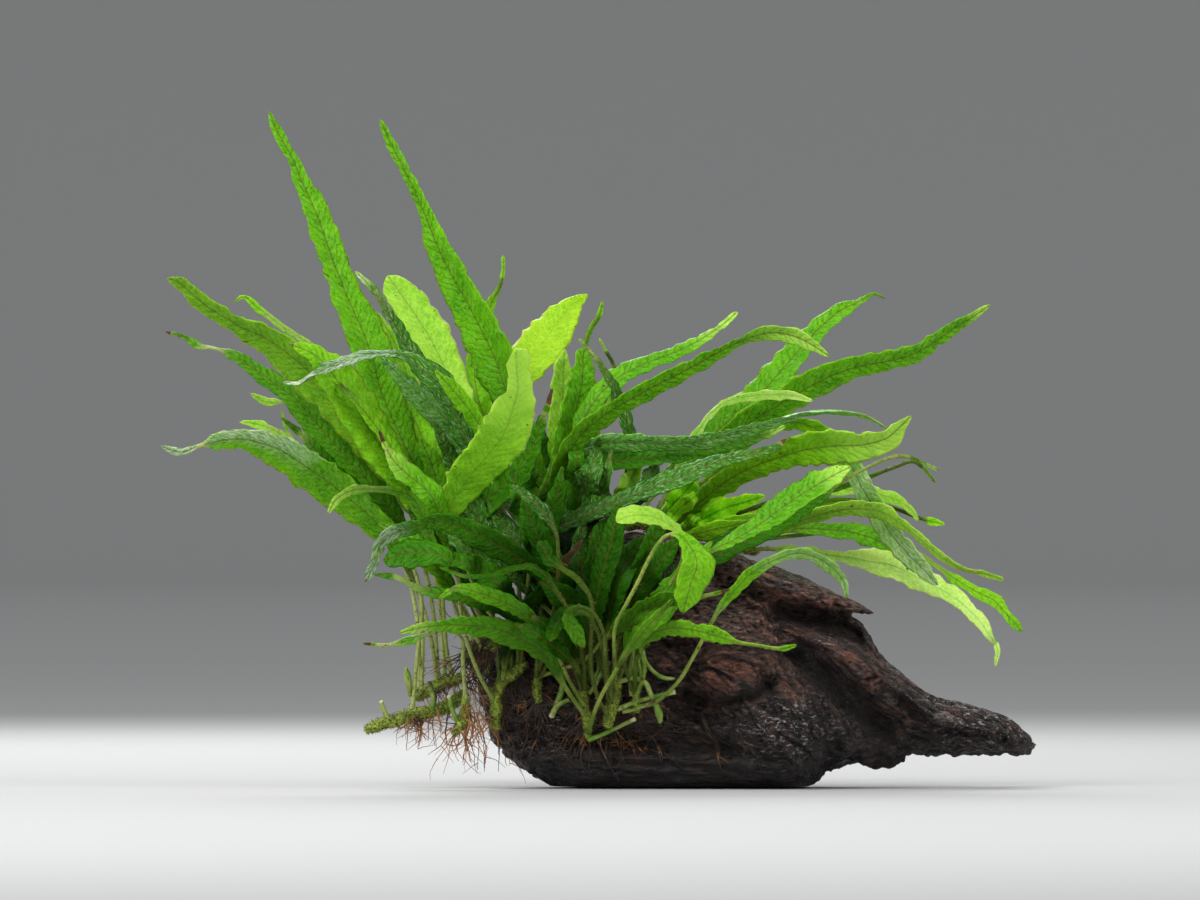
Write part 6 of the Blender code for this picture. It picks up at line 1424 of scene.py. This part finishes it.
def wandering(x, z, aim, length):
    """Points of a root that sets out at x, z and wanders about its aim, in radians from straight down."""
    points = [(x, z)]
    for _ in range(round(length / ROOT_STEP)):
        aim += chance.normal(0, WANDER) - STRAIGHTEN * aim
        x, z = x + ROOT_STEP * math.sin(aim), z - ROOT_STEP * math.cos(aim)
        if z < LOWEST_GROWN:
            break
        points.append((x, z))
    return points


paths = []
for lines, sway in ((HANGING, 0.8), (CREEPING, 0.5)):
    for line in lines:
        away = np.hypot(stem_points[:, 0] - line[0][0], stem_points[:, 2] - line[0][1])
        free = stem_points[away.argmin(), 1]
        for _ in range(2):
            path = wavering(line, sway)
            paths.append(laid(path, free))
for rhizome, count, length in ROOTED:
    stem = rhizomes[rhizome]
    stem = stem[(stem[:, 0] > ROOTLESS) & (stem[:, 1] < np.median(stem[:, 1]) + 0.5)]
    for x, y, z in stem[chance.randint(0, len(stem), count)]:
        paths.append(laid(wandering(x, z, chance.normal(0, 0.9), length * chance.uniform(0.4, 1.3)), y))


def broken_at_steps(path):
    """The path up to the first point where the wood falls away under it."""
    kept = path[:1]
    for point in path[1:]:
        if abs(point[1] - kept[-1][1]) > LARGEST_DROP:
            break
        kept.append(point)
    return kept


def wires(name, paths, half, resolution):
    """One mesh of many round tapered wires."""
    drawn = bpy.data.curves.new(name, "CURVE")
    drawn.dimensions = "3D"
    drawn.bevel_depth = half * MM
    drawn.bevel_resolution = resolution
    drawn.use_fill_caps = True
    for path in paths:
        spline = drawn.splines.new("POLY")
        spline.points.add(len(path) - 1)
        for k, (point, place) in enumerate(zip(spline.points, path)):
            point.co = (*Vector(place) * MM, 1)
            point.radius = 1.15 - 0.75 * k / (len(path) - 1)
    made = bpy.data.objects.new(name, drawn)
    bpy.context.scene.collection.objects.link(made)
    select_only(made)
    bpy.ops.object.convert(target="MESH")
    made = bpy.context.object
    made.data.materials.append(wiry)
    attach(made, "root")


paths = [broken_at_steps(path) for path in paths]
paths = [path for path in paths if len(path) > 3]
side_paths = []
for path in paths:
    for _ in range(chance.randint(0, 3)):
        x, y, z = path[chance.randint(0, len(path))]
        side = wandering(x, z, chance.normal(0, 1.1), chance.uniform(3, 11))
        side = broken_at_steps(laid(side, y))
        if len(side) > 2:
            side_paths.append(side)
wires("roots", paths, ROOT_HALF, 1)
wires("side_roots", side_paths, SIDE_ROOT_HALF, 0)


# --- moss, scales and bristles ---
# A felt of fine moss and brown scales covers the rhizomes, and short bristles stand on the stalks. They are
# tiny tapered spikes, grown out of the surface they stand on.

FELT_COUNT, SCALE_COUNT, BRISTLES = 21000, 5200, 10000
BRISTLE_FOOT = 0.66      # how far out from the stalk's middle, as a share of its half width
THIRDS = 0, 2.094, 4.189                 # of a turn, in radians
SPIKE_POINTS = np.array([(math.cos(a), math.sin(a), 0) for a in THIRDS] + [(0, 0, 1)])
SPIKE_FACES = np.array([(0, 1, 3), (1, 2, 3), (2, 0, 3), (0, 2, 1)])


def strewn(name, shape_points, shape_faces, feet, lean, half, tall):
    """One mesh of many copies of a small shape, each stood on its foot, leaned over and sized."""
    lean = unit(lean)
    aside = unit(np.cross(lean, chance.normal(size=lean.shape)))
    other = np.cross(lean, aside)
    points = (feet[:, None] + half[:, None, None] * (shape_points[:, :1] * aside[:, None]
                                                     + shape_points[:, 1:2] * other[:, None])
              + tall[:, None, None] * shape_points[:, 2:] * lean[:, None])
    first_points = len(shape_points) * np.arange(len(feet))[:, None, None]
    faces = (shape_faces + first_points).reshape(-1, shape_faces.shape[1])
    mesh = bpy.data.meshes.new(name)
    mesh.from_pydata((points.reshape(-1, 3) * MM).tolist(), [], faces.tolist())
    made = bpy.data.objects.new(name, mesh)
    bpy.context.scene.collection.objects.link(made)
    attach(made, "root")
    return made


def two_tone(name, first, second, roughness, spots):
    made = new_material(name, first, roughness)
    nodes = Nodes(made)
    tint = nodes.speckle(spots)
    nodes.finish(Base_Color=nodes.mix(nodes.ramp(tint, 0.40, 0.60), (*first, 1), (*second, 1)))
    return made


skin = np.vstack(skins)
for name, count, half, tall, low, high in (
        ("moss_felt", FELT_COUNT, 0.13, 0.55, (0.11, 0.20, 0.006), (0.38, 0.50, 0.05)),
        ("brown_scales", SCALE_COUNT, 0.17, 0.9, (0.030, 0.018, 0.008), (0.13, 0.07, 0.025))):
    at = skin[chance.randint(0, len(skin), count)]
    lean = at[:, 3:] + chance.normal(0, 0.45, (count, 3)) - (0, 0, 0.25)
    sizes = chance.uniform(0.6, 1.4, count)
    made = strewn(name, SPIKE_POINTS, SPIKE_FACES, at[:, :3] - 0.12 * at[:, 3:], lean, half * sizes,
                  tall * sizes * chance.uniform(0.5, 1.5, count))
    made.data.materials.append(two_tone(name.replace("_", " "), low, high, 0.7, 600))

stalk = np.vstack(stalks)
likely = np.exp(-stalk[:, 12] / 22) + 0.08
at = stalk[chance.choice(len(stalk), BRISTLES, p=likely / likely.sum())]
angle = chance.uniform(0, 2 * math.pi, BRISTLES)[:, None]
outward = at[:, 3:6] * np.cos(angle) + at[:, 6:9] * np.sin(angle)
slide = at[:, 9:12] * chance.uniform(-0.4, 0.4, (BRISTLES, 1))
sizes = chance.uniform(0.5, 1.3, BRISTLES)
feet = at[:, :3] + BRISTLE_FOOT * PETIOLE / 2 * outward + slide
lean = outward + 0.9 * at[:, 9:12] + chance.normal(0, 0.3, (BRISTLES, 3))
made = strewn("bristles", SPIKE_POINTS, SPIKE_FACES, feet, lean, 0.11 * sizes, 1.05 * sizes)
made.data.materials.append(two_tone("bristles", (0.09, 0.05, 0.018), (0.34, 0.36, 0.12), 0.6, 900))


# --- spore dots ---
# Round brown heaps of spores, in two rows beside the midrib on the underside of two old leaves.

DOT_HALF, DOT_TALL = 0.62, 0.34
DOTS_OFF_RIB = 1.6
SPORED = [("with_sori", 24, 62), ("right_long_front", 34, 78)]    # leaf, and from where to where off its base

bpy.ops.object.select_all(action="DESELECT")
bpy.ops.mesh.primitive_ico_sphere_add(subdivisions=1, radius=1)
ball = bpy.context.object
dot_points = vectors(ball.data.vertices, "co").astype(float)
dot_faces = np.array([tuple(face.vertices) for face in ball.data.polygons])
bpy.data.objects.remove(ball)
feet, lean = [], []
for name, low, high in SPORED:
    blade = bpy.data.objects["frond_" + name + "_leaf"].data
    on_leaf = vectors(blade.attributes["on_leaf"].data, "vector")
    points, outward = points_of(blade), normals_of(blade)
    for from_base in np.arange(low, high, VEIN_SPACING * 0.8):
        for off in (-DOTS_OFF_RIB, DOTS_OFF_RIB):
            away = np.hypot(on_leaf[:, 0] - off * chance.uniform(0.8, 1.2), on_leaf[:, 1] - from_base)
            nearest = (away + 50 * (outward[:, 1] > 0)).argmin()
            feet.append(points[nearest])
            lean.append(outward[nearest])
sizes = chance.uniform(0.6, 1.1, len(feet))
made = strewn("spore_dots", dot_points, dot_faces, np.array(feet), np.array(lean),
              DOT_HALF * sizes, DOT_TALL * sizes)
made.data.materials.append(two_tone("spores", (0.045, 0.022, 0.008), (0.14, 0.075, 0.022), 0.8, 900))
